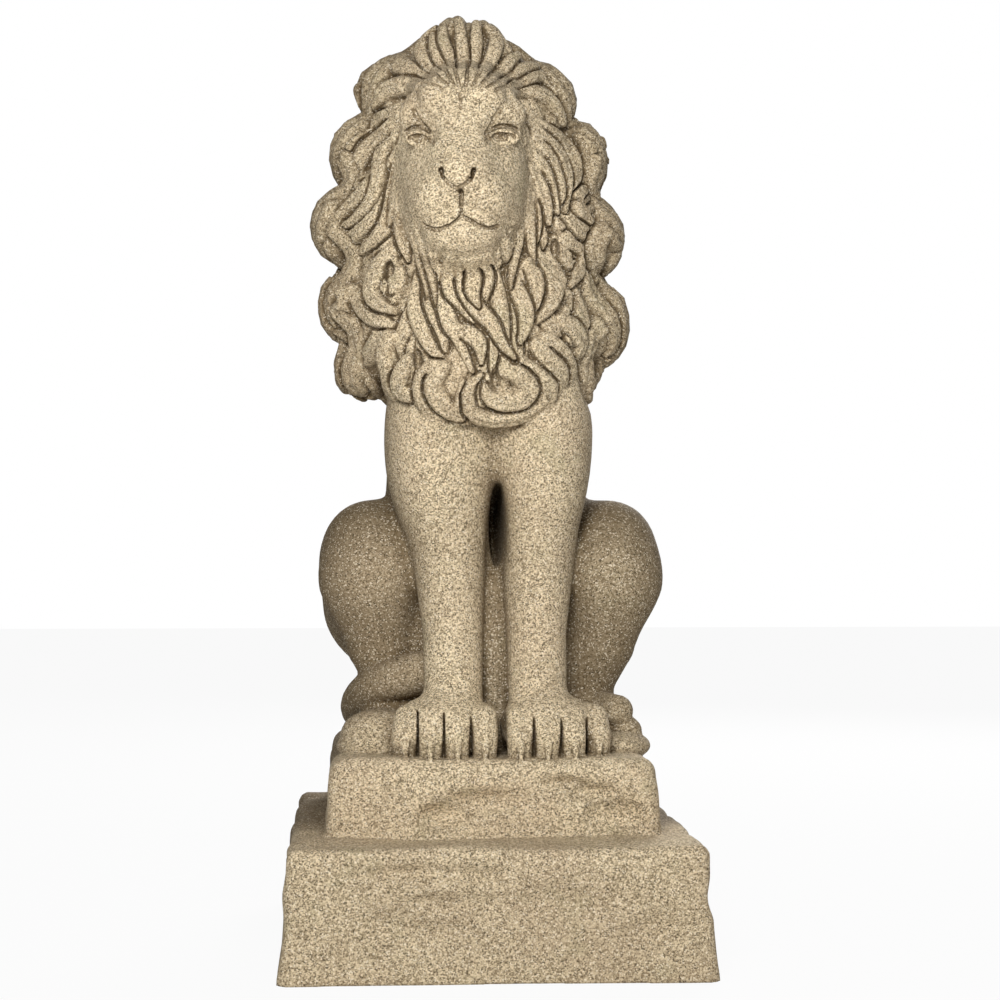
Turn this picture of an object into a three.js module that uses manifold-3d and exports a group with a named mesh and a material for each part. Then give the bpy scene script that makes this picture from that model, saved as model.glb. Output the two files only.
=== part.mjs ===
// A seated lion cast in one piece with its two-step rock plinth, in moulded stone-coloured resin.
// Millimetres, +Z up. The lion faces -Y, and the origin is the centre of the plinth's underside.
import * as THREE from "three";
import { SimplifyModifier } from "three/addons/modifiers/SimplifyModifier.js";
import { mergeVertices } from "three/addons/utils/BufferGeometryUtils.js";
import Module from "manifold-3d";

// The lion, from the top of the step to the top of its forelock. Its pose and carving are written
// for a lion CARVED_HEIGHT high, and all of it grows with LION_HEIGHT.
const LION_HEIGHT = 561;
const CARVED_HEIGHT = 561;
const CARVING_CELL = 4; // the finest form that the carving keeps
const LION_FACES = 8700;

// The plinth: a rock step that carries the lion, on a wider rock foot.
const STEP_BORDER = 10; // bare rock round the ground that the lion covers
const STEP_HEIGHT = 55;
const STEP_EDGE = 13; // radius of the worn edges
const STEP_LEAN = 4; // how far each side leans in from bottom to top
const FRONT_LEDGE = 67; // the foot's bare top in front of the step
const SIDE_LEDGE = 33;
const BACK_LEDGE = 33;
const FOOT_HEIGHT = 95;
const FOOT_EDGE = 9;
const FOOT_LEAN = 7;
const ROCK_WAVE = 4.5; // depth of the hewn hollows in the rock faces
const ROCK_FACET = 38;
const SEAT = 5; // how deep each part of the casting runs into the one below

const { cos, sin, min, max, abs, hypot, sqrt, PI, floor, ceil, round } = Math;
const DEGREE = PI / 180;
const SIDES = [-1, 1];

/** Ellipsoid form: its distance and the box that it fills. */
function ball([cx, cy, cz], [rx, ry, rz]) {
  const distance = (x, y, z) => {
    const dx = (x - cx) / rx;
    const dy = (y - cy) / ry;
    const dz = (z - cz) / rz;
    const size = sqrt(dx * dx + dy * dy + dz * dz);
    const slope = hypot(dx / rx, dy / ry, dz / rz);
    return slope < 1e-6 ? -min(rx, ry, rz) : (size * (size - 1)) / slope;
  };
  return { distance, low: [cx - rx, cy - ry, cz - rz], high: [cx + rx, cy + ry, cz + rz] };
}

/** Round limb through points [x, y, z, radius]. */
function limb(points) {
  const low = [0, 1, 2].map((i) => min(...points.map((p) => p[i] - p[3])));
  const high = [0, 1, 2].map((i) => max(...points.map((p) => p[i] + p[3])));
  const distance = (x, y, z) => {
    let best = Infinity;
    for (let i = 0; i + 1 < points.length; i++) {
      const a = points[i];
      const b = points[i + 1];
      const ux = b[0] - a[0];
      const uy = b[1] - a[1];
      const uz = b[2] - a[2];
      const px = x - a[0];
      const py = y - a[1];
      const pz = z - a[2];
      const t = min(max((px * ux + py * uy + pz * uz) / (ux * ux + uy * uy + uz * uz || 1), 0), 1);
      const qx = px - t * ux;
      const qy = py - t * uy;
      const qz = pz - t * uz;
      best = min(best, sqrt(qx * qx + qy * qy + qz * qz) - a[3] - t * (b[3] - a[3]));
    }
    return best;
  };
  return { distance, low, high };
}

/** The smaller distance, with a fillet of size k between the two. */
function blended(a, b, k) {
  const h = max(k - abs(a - b), 0) / k;
  return min(a, b) - h * h * k * 0.25;
}

/** Several forms run together into one. */
function together(forms, k) {
  return {
    distance: (x, y, z) => {
      let d = forms[0].distance(x, y, z);
      for (let n = 1; n < forms.length; n++) d = blended(d, forms[n].distance(x, y, z), k);
      return d;
    },
    low: [0, 1, 2].map((i) => min(...forms.map((form) => form.low[i]))),
    high: [0, 1, 2].map((i) => max(...forms.map((form) => form.high[i]))),
  };
}

/** A block of clay, held as distances at the points of a grid. */
class Clay {
  constructor(low, high, cell) {
    this.low = low;
    this.cell = cell;
    this.count = low.map((l, i) => ceil((high[i] - l) / cell) + 1);
    this.field = new Float32Array(this.count[0] * this.count[1] * this.count[2]).fill(1e3);
  }

  /** Changes the distance at every grid point within `margin` of a form. */
  work(form, margin, change) {
    const { low, cell, count, field } = this;
    const first = form.low.map((l, i) => max(floor((l - margin - low[i]) / cell), 0));
    const last = form.high.map((h, i) => min(ceil((h + margin - low[i]) / cell), count[i] - 1));
    for (let k = first[2]; k <= last[2]; k++) {
      for (let j = first[1]; j <= last[1]; j++) {
        for (let i = first[0]; i <= last[0]; i++) {
          const at = i + count[0] * (j + count[1] * k);
          const d = form.distance(low[0] + i * cell, low[1] + j * cell, low[2] + k * cell);
          field[at] = change(field[at], d);
        }
      }
    }
  }

  add(form, k) {
    this.work(form, k + 2 * this.cell, (clay, d) => blended(clay, d, k));
  }

  cut(form, k) {
    this.work(form, k + 2 * this.cell, (clay, d) => -blended(-clay, d, k));
  }

  /** Rubs the clay over, which takes off what is finer than a cell. */
  rub() {
    const [nx, ny] = this.count;
    const before = Float32Array.from(this.field);
    const around = [1, -1, nx, -nx, nx * ny, -nx * ny];
    for (let at = nx * ny; at < before.length - nx * ny; at++) {
      if (abs(before[at]) > 2 * this.cell) continue;
      let sum = 0;
      for (const step of around) sum += max(min(before[at + step], 3 * this.cell), -3 * this.cell);
      this.field[at] = 0.5 * before[at] + (0.5 * sum) / around.length;
    }
  }

  /** The clay's skin, cut tetrahedron by tetrahedron so that it is always closed. */
  skin() {
    const { low, cell, field } = this;
    const [nx, ny, nz] = this.count;
    const offsets = [0, 1, 2, 3, 4, 5, 6, 7].map((c) => (c & 1) + nx * (((c >> 1) & 1) + ny * (c >> 2)));
    const hexagon = [1, 3, 2, 6, 4, 5];
    const tetrahedra = hexagon.map((corner, n) => [0, corner, hexagon[(n + 1) % 6], 7]);
    const points = [];
    const faces = [];
    const known = new Map();
    const steps = (at) => [at % nx, floor(at / nx) % ny, floor(at / (nx * ny))];
    const place = (at) => steps(at).map((n, i) => low[i] + n * cell);
    const crossing = (inner, outer) => {
      const key = min(inner, outer) * 2 * nx * ny + abs(inner - outer);
      if (!known.has(key)) {
        const share = min(max(field[inner] / (field[inner] - field[outer]), 0.04), 0.96);
        const b = place(outer);
        known.set(key, points.length);
        points.push(place(inner).map((p, i) => p + share * (b[i] - p)));
      }
      return known.get(key);
    };
    const cutTetrahedron = (ins, outs) => {
      const ring = ins.flatMap((a) => outs.map((b) => crossing(a, b)));
      if (ring.length === 4) ring.push(ring.splice(2, 1)[0]);
      const [a, b, c] = ring.map((n) => new THREE.Vector3(...points[n]));
      const outward = new THREE.Vector3(...place(outs[0])).sub(new THREE.Vector3(...place(ins[0])));
      if (b.sub(a).cross(c.sub(a)).dot(outward) < 0) ring.reverse();
      for (let n = 1; n + 1 < ring.length; n++) faces.push(ring[0], ring[n], ring[n + 1]);
    };
    for (let k = 0; k < nz - 1; k++) {
      for (let j = 0; j < ny - 1; j++) {
        for (let i = 0; i < nx - 1; i++) {
          const base = i + nx * (j + ny * k);
          let inside = 0;
          for (const offset of offsets) inside += field[base + offset] < 0 ? 1 : 0;
          if (inside === 0 || inside === offsets.length) continue;
          for (const corners of tetrahedra) {
            const all = corners.map((corner) => base + offsets[corner]);
            const ins = all.filter((at) => field[at] < 0);
            const outs = all.filter((at) => field[at] >= 0);
            if (ins.length && outs.length) cutTetrahedron(ins, outs);
          }
        }
      }
    }
    const skin = new THREE.BufferGeometry();
    skin.setAttribute("position", new THREE.Float32BufferAttribute(points.flat(), 3));
    return skin.setIndex(faces);
  }
}

// The lion's forms stand in its own frame: x across, y back and z up from the ground under its feet.

/** The trunk: rib cage, sloping back, shoulders and rump. */
function trunk(clay) {
  clay.add(limb([[-6, -5, 300, 68], [-3, 25, 200, 76], [0, 70, 105, 80]]), 20);
  clay.add(limb([[-8, 20, 380, 60], [-4, 45, 290, 66], [0, 75, 160, 76], [0, 78, 90, 73]]), 24);
  clay.add(ball([0, 88, 58], [74, 66, 66]), 20);
  for (const side of SIDES) clay.add(ball([side * 42 - 4, -42, 235], [37, 48, 85]), 20);
}

/** The forelegs, the web that fills the space behind and between them, and its deep upper pocket. */
function forelegs(clay) {
  for (const side of SIDES) {
    const upper = [[34, -45, 240, 37], [34, -48, 150, 28]];
    const lower = [[31.5, -62, 90, 22.5], [31.5, -72, 45, 22], [33, -80, 20, 22]];
    const leg = [...upper, ...lower];
    clay.add(limb(leg.map(([x, y, z, r]) => [side * x, y, z, r])), 9);
    clay.add(limb([[side * 46, -8, 20, 28], [side * 40, -8, 90, 26], [side * 40, -8, 150, 26]]), 10);
  }
  clay.add(limb([[0, -24, 0, 30], [0, -22, 90, 30], [0, -10, 150, 30]]), 8);
  clay.add(limb([[1, -46, 0, 13], [1, -44, 70, 10], [0, -38, 120, 7]]), 8);
  clay.cut(ball([0, -64, 170], [6.5, 50, 30]), 9);
}

/** One forepaw: its pad and four toes. */
function forepaw(clay, side) {
  clay.add(ball([side * 40, -86, 20], [36, 32, 23]), 8);
  for (const x of [12, 32.6, 52.7, 72.5]) {
    const back = x > 60 ? 10 : 0;
    const toe = [[x * 0.95, back - 80, 28, 10], [x, back - 100, 28, 11], [x, back - 111, 12, 11]];
    clay.add(limb(toe.map(([tx, ty, tz, r]) => [side * tx, ty, tz, r])), 2);
  }
}

/** One haunch: thigh, knee, shin and the hind foot with its splayed toes. */
function haunch(clay, side) {
  const mirrored = (points) => limb(points.map(([x, y, z, r]) => [side * x, y, z, r]));
  clay.add(mirrored([[70, 72, 112, 62], [80, 22, 132, 53], [89, -12, 131, 42]]), 16);
  clay.add(mirrored([[48, 76, 50, 50], [58, 48, 56, 42]]), 16);
  clay.add(mirrored([[91, -14, 126, 38], [84, -10, 80, 28], [70, -2, 42, 22]]), 12);
  clay.add(mirrored([[74, 66, 22, 22], [80, 10, 22, 22], [80, -24, 24, 19]]), 10);
  [58, 71, 84, 95].forEach((x, n) => {
    clay.add(mirrored([[x - 4, -30 + n * 3, 34, 12], [x + 2, -48 + n * 4, 16, 11.5]]), 2);
  });
}

/** The tail, from the rump round the haunch, its tuft over the hind foot. */
function tail(clay) {
  const behind = [[0, 140, 34], [-50, 146, 20], [-94, 108, 18], [-106, 50, 26]];
  const infront = [[-104, 6, 40], [-86, -34, 52], [-62, -46, 54], [-42, -46, 52]];
  const route = [...behind, ...infront];
  const path = new THREE.CatmullRomCurve3(route.map((p) => new THREE.Vector3(...p)));
  const samples = 18;
  clay.add(limb(path.getPoints(samples).map((p, n) => [p.x, p.y, p.z, 13 + 5 * (n / samples)])), 4);
}

/** The mass of the mane under its locks. */
const MANE = together(
  [
    ball([-21, -25, 462], [80, 70, 84]),
    ball([-18, -26, 400], [108, 78, 80]),
    ball([-16, -28, 328], [106, 76, 78]),
    ball([-12, -64, 312], [74, 52, 62]),
    ball([-12, 18, 340], [86, 66, 96]),
    ball([-22, -36, 520], [36, 34, 38]),
    ball([-76, -20, 504], [26, 30, 25]),
    ball([44, -20, 498], [24, 30, 27]),
  ],
  20,
);

// The bare face stands in the head's own frame: x across, f forward, z from the line of the eyes.
const HEAD = { x: -20, y: -40, z: 440, turn: 5 * DEGREE };

function facing(x, f, z) {
  const { turn } = HEAD;
  return [HEAD.x + x * cos(turn) - f * sin(turn), HEAD.y - f * cos(turn) - x * sin(turn), HEAD.z + z];
}

/** The face: skull, brow, cheeks, broad nose, muzzle, jaw, mouth and eyes. */
function face(clay) {
  clay.add(ball(facing(0, 35, 8), [47, 52, 58]), 6);
  clay.add(ball(facing(0, 60, 30), [38, 26, 26]), 8);
  clay.add(limb([[...facing(0, 70, 26), 24], [...facing(0, 86, 2), 20], [...facing(0, 102, -16), 14]]), 8);
  clay.add(ball(facing(0, 76, -50), [31, 28, 22]), 8);
  for (const side of SIDES) {
    clay.add(ball(facing(side * 29, 56, -12), [22, 28, 34]), 10);
    clay.add(ball(facing(side * 17, 72, 40), [15, 12, 13]), 5);
    clay.cut(ball(facing(side * 31, 92, 14), [13, 12, 8]), 5);
    clay.add(ball(facing(side * 31, 76, 14), [10, 8.5, 7]), 1);
    const lid = [[17, 88, 22, 4], [31, 83, 25, 5.5], [43, 70, 20, 4.5]];
    clay.add(limb(lid.map(([x, f, z, r]) => [...facing(side * x, f, z), r])), 4);
    clay.add(ball(facing(side * 16, 98, -37), [20, 19, 18]), 3);
  }
  clay.add(ball(facing(0, 108, -24), [15, 10, 10]), 2);
  clay.add(ball(facing(0, 90, -63), [22, 18, 13]), 3);
  const mouth = [-28, 0, 28].map((x) => [...facing(x, 118 - abs(x) * 0.9, -52 - abs(x) * 0.12), 3.4]);
  clay.cut(limb(mouth), 2);
}

// Each front lock has its root, middle and tip at [across, up], as seen from VIEWPOINT on an upright
// sheet through the lion's ankles, and is laid back from there onto the mane.
const VIEWPOINT = [-102, -1880, 165];
const FRONT_LOCKS = [
  // the crest
  [[-16, 513], [-12, 545], [-16, 568]],
  [[-22, 513], [-21, 541], [-27, 563]],
  [[-27, 514], [-38, 529], [-43, 547]],
  [[-31, 512], [-58, 537], [-37, 559]],
  [[-10, 512], [6, 536], [0, 555]],
  [[-5, 510], [9, 523], [24, 538]],
  [[2, 508], [22, 523], [40, 531]],
  [[6, 506], [42, 525], [58, 511]],
  [[12, 503], [44, 507], [62, 485]],
  // the left lobe and left side
  [[-39, 514], [-82, 533], [-104, 508]],
  [[-46, 507], [-76, 511], [-101, 491]],
  [[-68, 496], [-108, 470], [-117, 432]],
  [[-72, 487], [-97, 461], [-103, 433]],
  [[-72, 474], [-87, 442], [-128, 394]],
  [[-70, 461], [-84, 420], [-110, 378]],
  [[-69, 450], [-76, 415], [-98, 383]],
  [[-68, 424], [-68, 400], [-62, 376]],
  // the left of the bib
  [[-74, 386], [-92, 354], [-75, 337]],
  [[-106, 375], [-106, 352], [-78, 327]],
  [[-113, 352], [-129, 337], [-108, 314]],
  [[-87, 325], [-90, 306], [-106, 290]],
  [[-118, 304], [-110, 278], [-91, 262]],
  [[-100, 290], [-90, 272], [-80, 255]],
  [[-78, 316], [-77, 282], [-56, 263]],
  [[-63, 298], [-69, 282], [-55, 275]],
  // the beard
  [[-25, 385], [-18, 343], [6, 298]],
  [[-8, 383], [2, 345], [18, 301]],
  [[-42, 385], [-43, 335], [-14, 292]],
  [[-55, 382], [-60, 335], [-38, 300]],
  [[12, 380], [26, 345], [27, 310]],
  [[32, 378], [48, 352], [38, 326]],
  // the right of the bib
  [[54, 386], [74, 385], [62, 357]],
  [[86, 400], [103, 384], [92, 360]],
  [[76, 367], [103, 336], [94, 300]],
  [[94, 312], [92, 296], [78, 277]],
  [[56, 330], [72, 313], [66, 298]],
  [[44, 316], [61, 294], [58, 273]],
  [[36, 310], [54, 289], [46, 270]],
  // the right side
  [[34, 486], [63, 457], [64, 430]],
  [[34, 470], [52, 442], [57, 408]],
  [[34, 446], [40, 425], [44, 398]],
  [[65, 484], [92, 450], [76, 424]],
  [[73, 423], [93, 409], [102, 392]],
  [[58, 412], [74, 398], [84, 384]],
  [[30, 430], [34, 408], [37, 388]],
];
// The open curls along the bottom, on the same sheet: centre, radius, and the angles of root and tip.
const CURLS = [
  [[-35, 277], 16, 110, 390],
  [[12, 277], 22, 75, -250],
];
const LOCK_WIDTH = 16;
const LOCK_LIFT = 3.5; // how high a lock's middle stands off the mane
const LOCK_SAMPLES = 9;

/** The point of the mane's surface, or nearest to it, on the line from the viewpoint through the sheet. */
function ontoMane([across, up]) {
  const line = new THREE.Vector3(across, 0, up).sub(new THREE.Vector3(...VIEWPOINT));
  const reach = line.length();
  line.normalize();
  const here = new THREE.Vector3();
  const nearest = { gap: Infinity, point: new THREE.Vector3() };
  for (let along = reach - 220; along < reach + 60 && nearest.gap > 0.3; along += 2) {
    here.set(...VIEWPOINT).addScaledVector(line, along);
    const gap = MANE.distance(here.x, here.y, here.z);
    if (gap < nearest.gap) {
      nearest.gap = gap;
      nearest.point.copy(here);
    }
    if (gap > 4) along += gap * 0.6;
  }
  return nearest.point;
}

/** The mane's outward direction at a point. */
function offMane({ x, y, z }) {
  const step = 2;
  const slope = (dx, dy, dz) => MANE.distance(x + dx, y + dy, z + dz) - MANE.distance(x - dx, y - dy, z - dz);
  return new THREE.Vector3(slope(step, 0, 0), slope(0, step, 0), slope(0, 0, step)).normalize();
}

/** A lock along points on the mane: full in the middle, running to a lifted tip. */
function lock(clay, points, width) {
  const lifted = points.map((p) => p.clone().addScaledVector(offMane(p), LOCK_LIFT));
  const path = new THREE.CatmullRomCurve3(lifted);
  const along = path.getPoints(LOCK_SAMPLES).map((p, n) => {
    const t = n / LOCK_SAMPLES;
    return [p.x, p.y, p.z, (width / 2) * min(1, 0.65 + t) * sqrt(1 - 0.8 * t ** 5)];
  });
  clay.add(limb(along), 2.5);
}

/** The locks and curls that frame the face and hang over the chest. */
function frontLocks(clay) {
  for (const points of FRONT_LOCKS) {
    const arc = new THREE.CatmullRomCurve3(points.map(([x, z]) => new THREE.Vector3(x, 0, z)));
    lock(clay, arc.getPoints(4).map((p) => ontoMane([p.x, p.z])), LOCK_WIDTH);
  }
  const shares = [0, 1, 2, 3, 4, 5, 6, 7].map((n) => n / 7);
  for (const [[x, z], radius, from, to] of CURLS) {
    const turns = shares.map((share) => (from + (to - from) * share) * DEGREE);
    lock(clay, turns.map((a) => ontoMane([x + radius * cos(a), z + radius * sin(a)])), LOCK_WIDTH);
  }
}

const BACK_LOCKS = { centre: [-16, -10, 400], width: 24, pitch: 26, from: 82, fall: 20, sway: 7 };
const BACK_ROWS = [75, 52, 32, 13, -6, -24, -42]; // how far above level each row starts, in degrees

/** The point of the mane's surface at a bearing from straight ahead and a height above level, in degrees. */
function roundMane(bearing, level) {
  const [a, e] = [bearing * DEGREE, level * DEGREE];
  const way = new THREE.Vector3(sin(a) * cos(e), -cos(a) * cos(e), sin(e));
  const centre = new THREE.Vector3(...BACK_LOCKS.centre);
  let [near, far] = [0, 300];
  while (far - near > 0.5) {
    const middle = centre.clone().addScaledVector(way, (near + far) / 2);
    if (MANE.distance(middle.x, middle.y, middle.z) < 0) near = (near + far) / 2;
    else far = (near + far) / 2;
  }
  return centre.addScaledVector(way, near);
}

/** The locks of the sides and back, in rows that flow down and lie over each other. */
function backLocks(clay) {
  const { width, pitch, from, fall, sway } = BACK_LOCKS;
  BACK_ROWS.forEach((level, row) => {
    const spread = pitch / max(cos(level * DEGREE), 0.35);
    const last = 360 - from;
    for (let bearing = from + (row % 2) * (spread / 2); bearing < last; bearing += spread) {
      const side = bearing > 180 ? 1 : -1;
      const down = (t) => roundMane(bearing + side * sway * sin(t * PI * 1.2), level - fall * t);
      lock(clay, [0, 0.35, 0.7, 1].map(down), width);
    }
  });
}

const CLAY_BOX = { low: [-150, -176, -12], high: [140, 180, 580] };

/** The lion, carved, cut flat just below its feet, and faceted. */
async function lion(scale) {
  const clay = new Clay(CLAY_BOX.low, CLAY_BOX.high, CARVING_CELL);
  trunk(clay);
  clay.add(MANE, 5);
  for (const side of SIDES) haunch(clay, side);
  forelegs(clay);
  for (const side of SIDES) forepaw(clay, side);
  tail(clay);
  face(clay);
  backLocks(clay);
  frontLocks(clay);
  clay.rub();
  const sole = -SEAT / scale;
  clay.cut({ ...CLAY_BOX, distance: (x, y, z) => z - sole }, 0.01);
  const skin = geometryOf(filled(solid(clay.skin())));
  const kept = LION_FACES / (skin.index.count / 3);
  const spare = round((1 - kept) * skin.getAttribute("position").count);
  return (await new SimplifyModifier().modify(skin, spare)).scale(scale, scale, scale);
}

/** A hewn block on z = 0 that leans in as it rises, with worn edges and shallow hollows. */
function rock({ width, depth, height, edge, lean, phase }) {
  const half = [width / 2, depth / 2, height];
  const rows = [width, depth, height].map((size) => max(3, round(size / ROCK_FACET)));
  const block = new THREE.BoxGeometry(2, 2, 1, ...rows);
  const corner = block.getAttribute("position");
  // Rows stand at even steps, but for the outermost ones, which mark off the worn edges.
  const spaced = (share, size, count) => {
    const row = round(share * count);
    if (row === 0 || row === count) return share * size;
    return edge + ((size - 2 * edge) * (row - 1)) / (count - 2);
  };
  for (let n = 0; n < corner.count; n++) {
    const x = spaced((corner.getX(n) + 1) / 2, width, rows[0]) - half[0];
    const y = spaced((corner.getY(n) + 1) / 2, depth, rows[1]) - half[1];
    const z = spaced(corner.getZ(n) + 0.5, height, rows[2]);
    const inX = min(max(x, edge - half[0]), half[0] - edge);
    const inY = min(max(y, edge - half[1]), half[1] - edge);
    const core = [inX, inY, min(z, height - edge)];
    const off = [x - core[0], y - core[1], z - core[2]];
    const out = hypot(...off) || 1;
    const worn = off.map((o, i) => core[i] + (abs(o) > 0 ? (o / out) * edge : 0));
    const risen = min(z / (height / 2), 1);
    const hollow = ROCK_WAVE * risen * (0.5 + 0.5 * sin(x / 31 + phase + z / 23) * cos(y / 37 - phase));
    const inset = (lean * z) / height + hollow;
    const sunk = z === height ? 0.6 * hollow : 0;
    corner.setXYZ(n, worn[0] * (1 - inset / half[0]), worn[1] * (1 - inset / half[1]), worn[2] - sunk);
  }
  return block;
}

const HAIR = 0.05;
const wasm = await Module();
wasm.setup();

/** A closed geometry as a solid. */
function solid(geometry) {
  const bare = new THREE.BufferGeometry().setAttribute("position", geometry.getAttribute("position"));
  const merged = mergeVertices(bare.setIndex(geometry.index), 1e-3);
  const vertProperties = merged.getAttribute("position").array;
  const triVerts = Uint32Array.from(merged.index.array);
  return new wasm.Manifold(new wasm.Mesh({ numProp: 3, vertProperties, triVerts }));
}

/** A solid without the hollows that are sealed inside it. */
function filled(body) {
  return body.decompose().sort((a, b) => b.volume() - a.volume())[0];
}

/** Moves apart the corners that two folds of a skin share, each a hair's breadth into its own fold. */
function parted(geometry) {
  geometry.computeVertexNormals();
  const corner = geometry.getAttribute("position");
  const normal = geometry.getAttribute("normal");
  const there = new Map();
  for (let n = 0; n < corner.count; n++) {
    const key = [corner.getX(n), corner.getY(n), corner.getZ(n)].map((p) => p.toFixed(3)).join();
    there.set(key, [...(there.get(key) ?? []), n]);
  }
  for (const shared of there.values()) {
    if (shared.length < 2) continue;
    for (const n of shared) {
      corner.setX(n, corner.getX(n) - normal.getX(n) * HAIR);
      corner.setY(n, corner.getY(n) - normal.getY(n) * HAIR);
      corner.setZ(n, corner.getZ(n) - normal.getZ(n) * HAIR);
    }
  }
  return geometry;
}

/** A solid as a geometry. */
function geometryOf(body) {
  const mesh = body.getMesh();
  const geometry = new THREE.BufferGeometry();
  geometry.setAttribute("position", new THREE.BufferAttribute(mesh.vertProperties, 3));
  return geometry.setIndex(new THREE.BufferAttribute(mesh.triVerts, 1));
}

// The ground that the lion's feet and tail cover, in its own frame.
const COVERED = { left: -117, right: 109, front: -123, back: 157 };

/** The lion on its step on its foot, as the one solid that they are cast as. */
async function casting() {
  const scale = LION_HEIGHT / CARVED_HEIGHT;
  const stepWidth = (COVERED.right - COVERED.left) * scale + 2 * STEP_BORDER;
  const stepDepth = (COVERED.back - COVERED.front) * scale + 2 * STEP_BORDER;
  const footWidth = stepWidth + 2 * SIDE_LEDGE;
  const footDepth = FRONT_LEDGE + stepDepth + BACK_LEDGE;
  const footSize = { width: footWidth, depth: footDepth, height: FOOT_HEIGHT };
  const foot = rock({ ...footSize, edge: FOOT_EDGE, lean: FOOT_LEAN, phase: 1 });
  const stepSize = { width: stepWidth, depth: stepDepth, height: STEP_HEIGHT + SEAT };
  const stepFront = FRONT_LEDGE - footDepth / 2;
  const step = rock({ ...stepSize, edge: STEP_EDGE, lean: STEP_LEAN, phase: 4 });
  step.translate(0, stepFront + stepDepth / 2, FOOT_HEIGHT - SEAT);
  const lionX = ((-COVERED.left - COVERED.right) / 2) * scale;
  const lionY = stepFront + STEP_BORDER - COVERED.front * scale;
  const figure = (await lion(scale)).translate(lionX, lionY, FOOT_HEIGHT + STEP_HEIGHT);
  return parted(geometryOf(filled(solid(foot).add(solid(step)).add(solid(figure)))));
}

const sandstone = new THREE.MeshStandardMaterial({ color: "#b7a489", roughness: 0.93, metalness: 0 });
const statue = new THREE.Mesh(await casting(), sandstone);
statue.name = "lion_statue";

const group = new THREE.Group();
group.add(statue);
export default group;
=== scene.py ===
"""A seated lion cast in one piece with its two-step rock plinth, in moulded sandstone resin.

The statue is modelled as clay on a grid, in millimetres, in the lion's own frame: x across, y back
and z up from the ground under its feet. The skin of the clay becomes one mesh in metres.
"""

import logging
import math
from collections.abc import Callable, Sequence
from dataclasses import dataclass, field
from enum import Enum

import bpy
import numpy as np
import openvdb
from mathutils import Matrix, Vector


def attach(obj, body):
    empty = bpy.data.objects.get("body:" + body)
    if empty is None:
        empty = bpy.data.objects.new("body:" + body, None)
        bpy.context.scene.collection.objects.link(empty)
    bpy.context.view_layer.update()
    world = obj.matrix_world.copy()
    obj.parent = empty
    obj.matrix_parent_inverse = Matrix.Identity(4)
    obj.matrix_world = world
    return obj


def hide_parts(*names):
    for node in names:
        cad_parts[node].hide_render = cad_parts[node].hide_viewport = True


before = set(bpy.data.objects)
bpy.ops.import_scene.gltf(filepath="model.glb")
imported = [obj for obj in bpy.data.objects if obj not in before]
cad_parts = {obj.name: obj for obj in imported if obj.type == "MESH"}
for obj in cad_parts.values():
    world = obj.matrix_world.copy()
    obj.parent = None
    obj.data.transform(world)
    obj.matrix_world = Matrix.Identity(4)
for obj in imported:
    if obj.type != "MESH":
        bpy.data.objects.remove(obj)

log = logging.getLogger("lion_statue")
logging.basicConfig(level=logging.INFO, format="%(message)s")

Array = np.ndarray
Point = Sequence[float]
Distance = Callable[[Array, Array, Array], Array]
Region = Callable[[Array, Array, Array], Array]
SIDES = (-1.0, 1.0)
MM = 0.001
# The hollowness record drives the resin's painted shade and brown wash in the hollows.
HOLLOW = "hollow"  # the mesh's record of how shut in each corner is

# Where the lion stands on its plinth, in the statue's own frame.
LION_X = 4.0
LION_Z = 150.0
MANE_FROM = 235.0  # the height at which the mane's mesh takes over from the body's
# The point from which the statue is seen in the photograph, in the lion's frame.
VIEWPOINT = np.array([-102.0, -1880.0, 165.0])
# A line of sight is followed from before the sheet to behind it, each step a share of the distance
# to the skin and at least SIGHT_STEP, until it touches.
SIGHT_BEFORE = 220.0
SIGHT_BEHIND = 90.0
SIGHT_STEPS = 260
SIGHT_SHARE = 0.6
SIGHT_STEP = 0.8
TOUCH = 0.2
# The bare face lies in front of a depth, between two heights and within a width of its middle.
FACE_DEPTH = -88.0
FACE_HEIGHTS = (375.0, 505.0)
FACE_MIDDLE = -24.0
FACE_HALF = 52.0


def blended(a: Array, b: Array, k: float) -> Array:
    """The smaller of two distances, with a fillet of size k between them.

    Args:
        a: One distance.
        b: The other distance.
        k: Size of the fillet.

    Returns:
        The joined distance.
    """
    h = np.maximum(k - np.abs(a - b), 0.0) / k
    return np.minimum(a, b) - h * h * (k * 0.25)


@dataclass(frozen=True)
class Form:
    """A solid form, as its distance and the box that it fills."""

    low: Point
    high: Point
    distance: Distance


def ball(centre: Point, radii: Point) -> Form:
    """An ellipsoid.

    Args:
        centre: Its middle.
        radii: Its three half sizes.

    Returns:
        The form.
    """

    def distance(x: Array, y: Array, z: Array) -> Array:
        """Distance from the ellipsoid's skin.

        Args:
            x: The points' places across.
            y: Their places back.
            z: Their heights.

        Returns:
            The distances, negative inside.
        """
        parts = [(p - c) / r for p, c, r in zip((x, y, z), centre, radii)]
        size = np.sqrt(sum(p * p for p in parts))
        slope = np.sqrt(sum((p / r) ** 2 for p, r in zip(parts, radii)))
        return size * (size - 1.0) / np.maximum(slope, 1e-4)

    low = [c - r for c, r in zip(centre, radii)]
    return Form(low, [c + r for c, r in zip(centre, radii)], distance)


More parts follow.
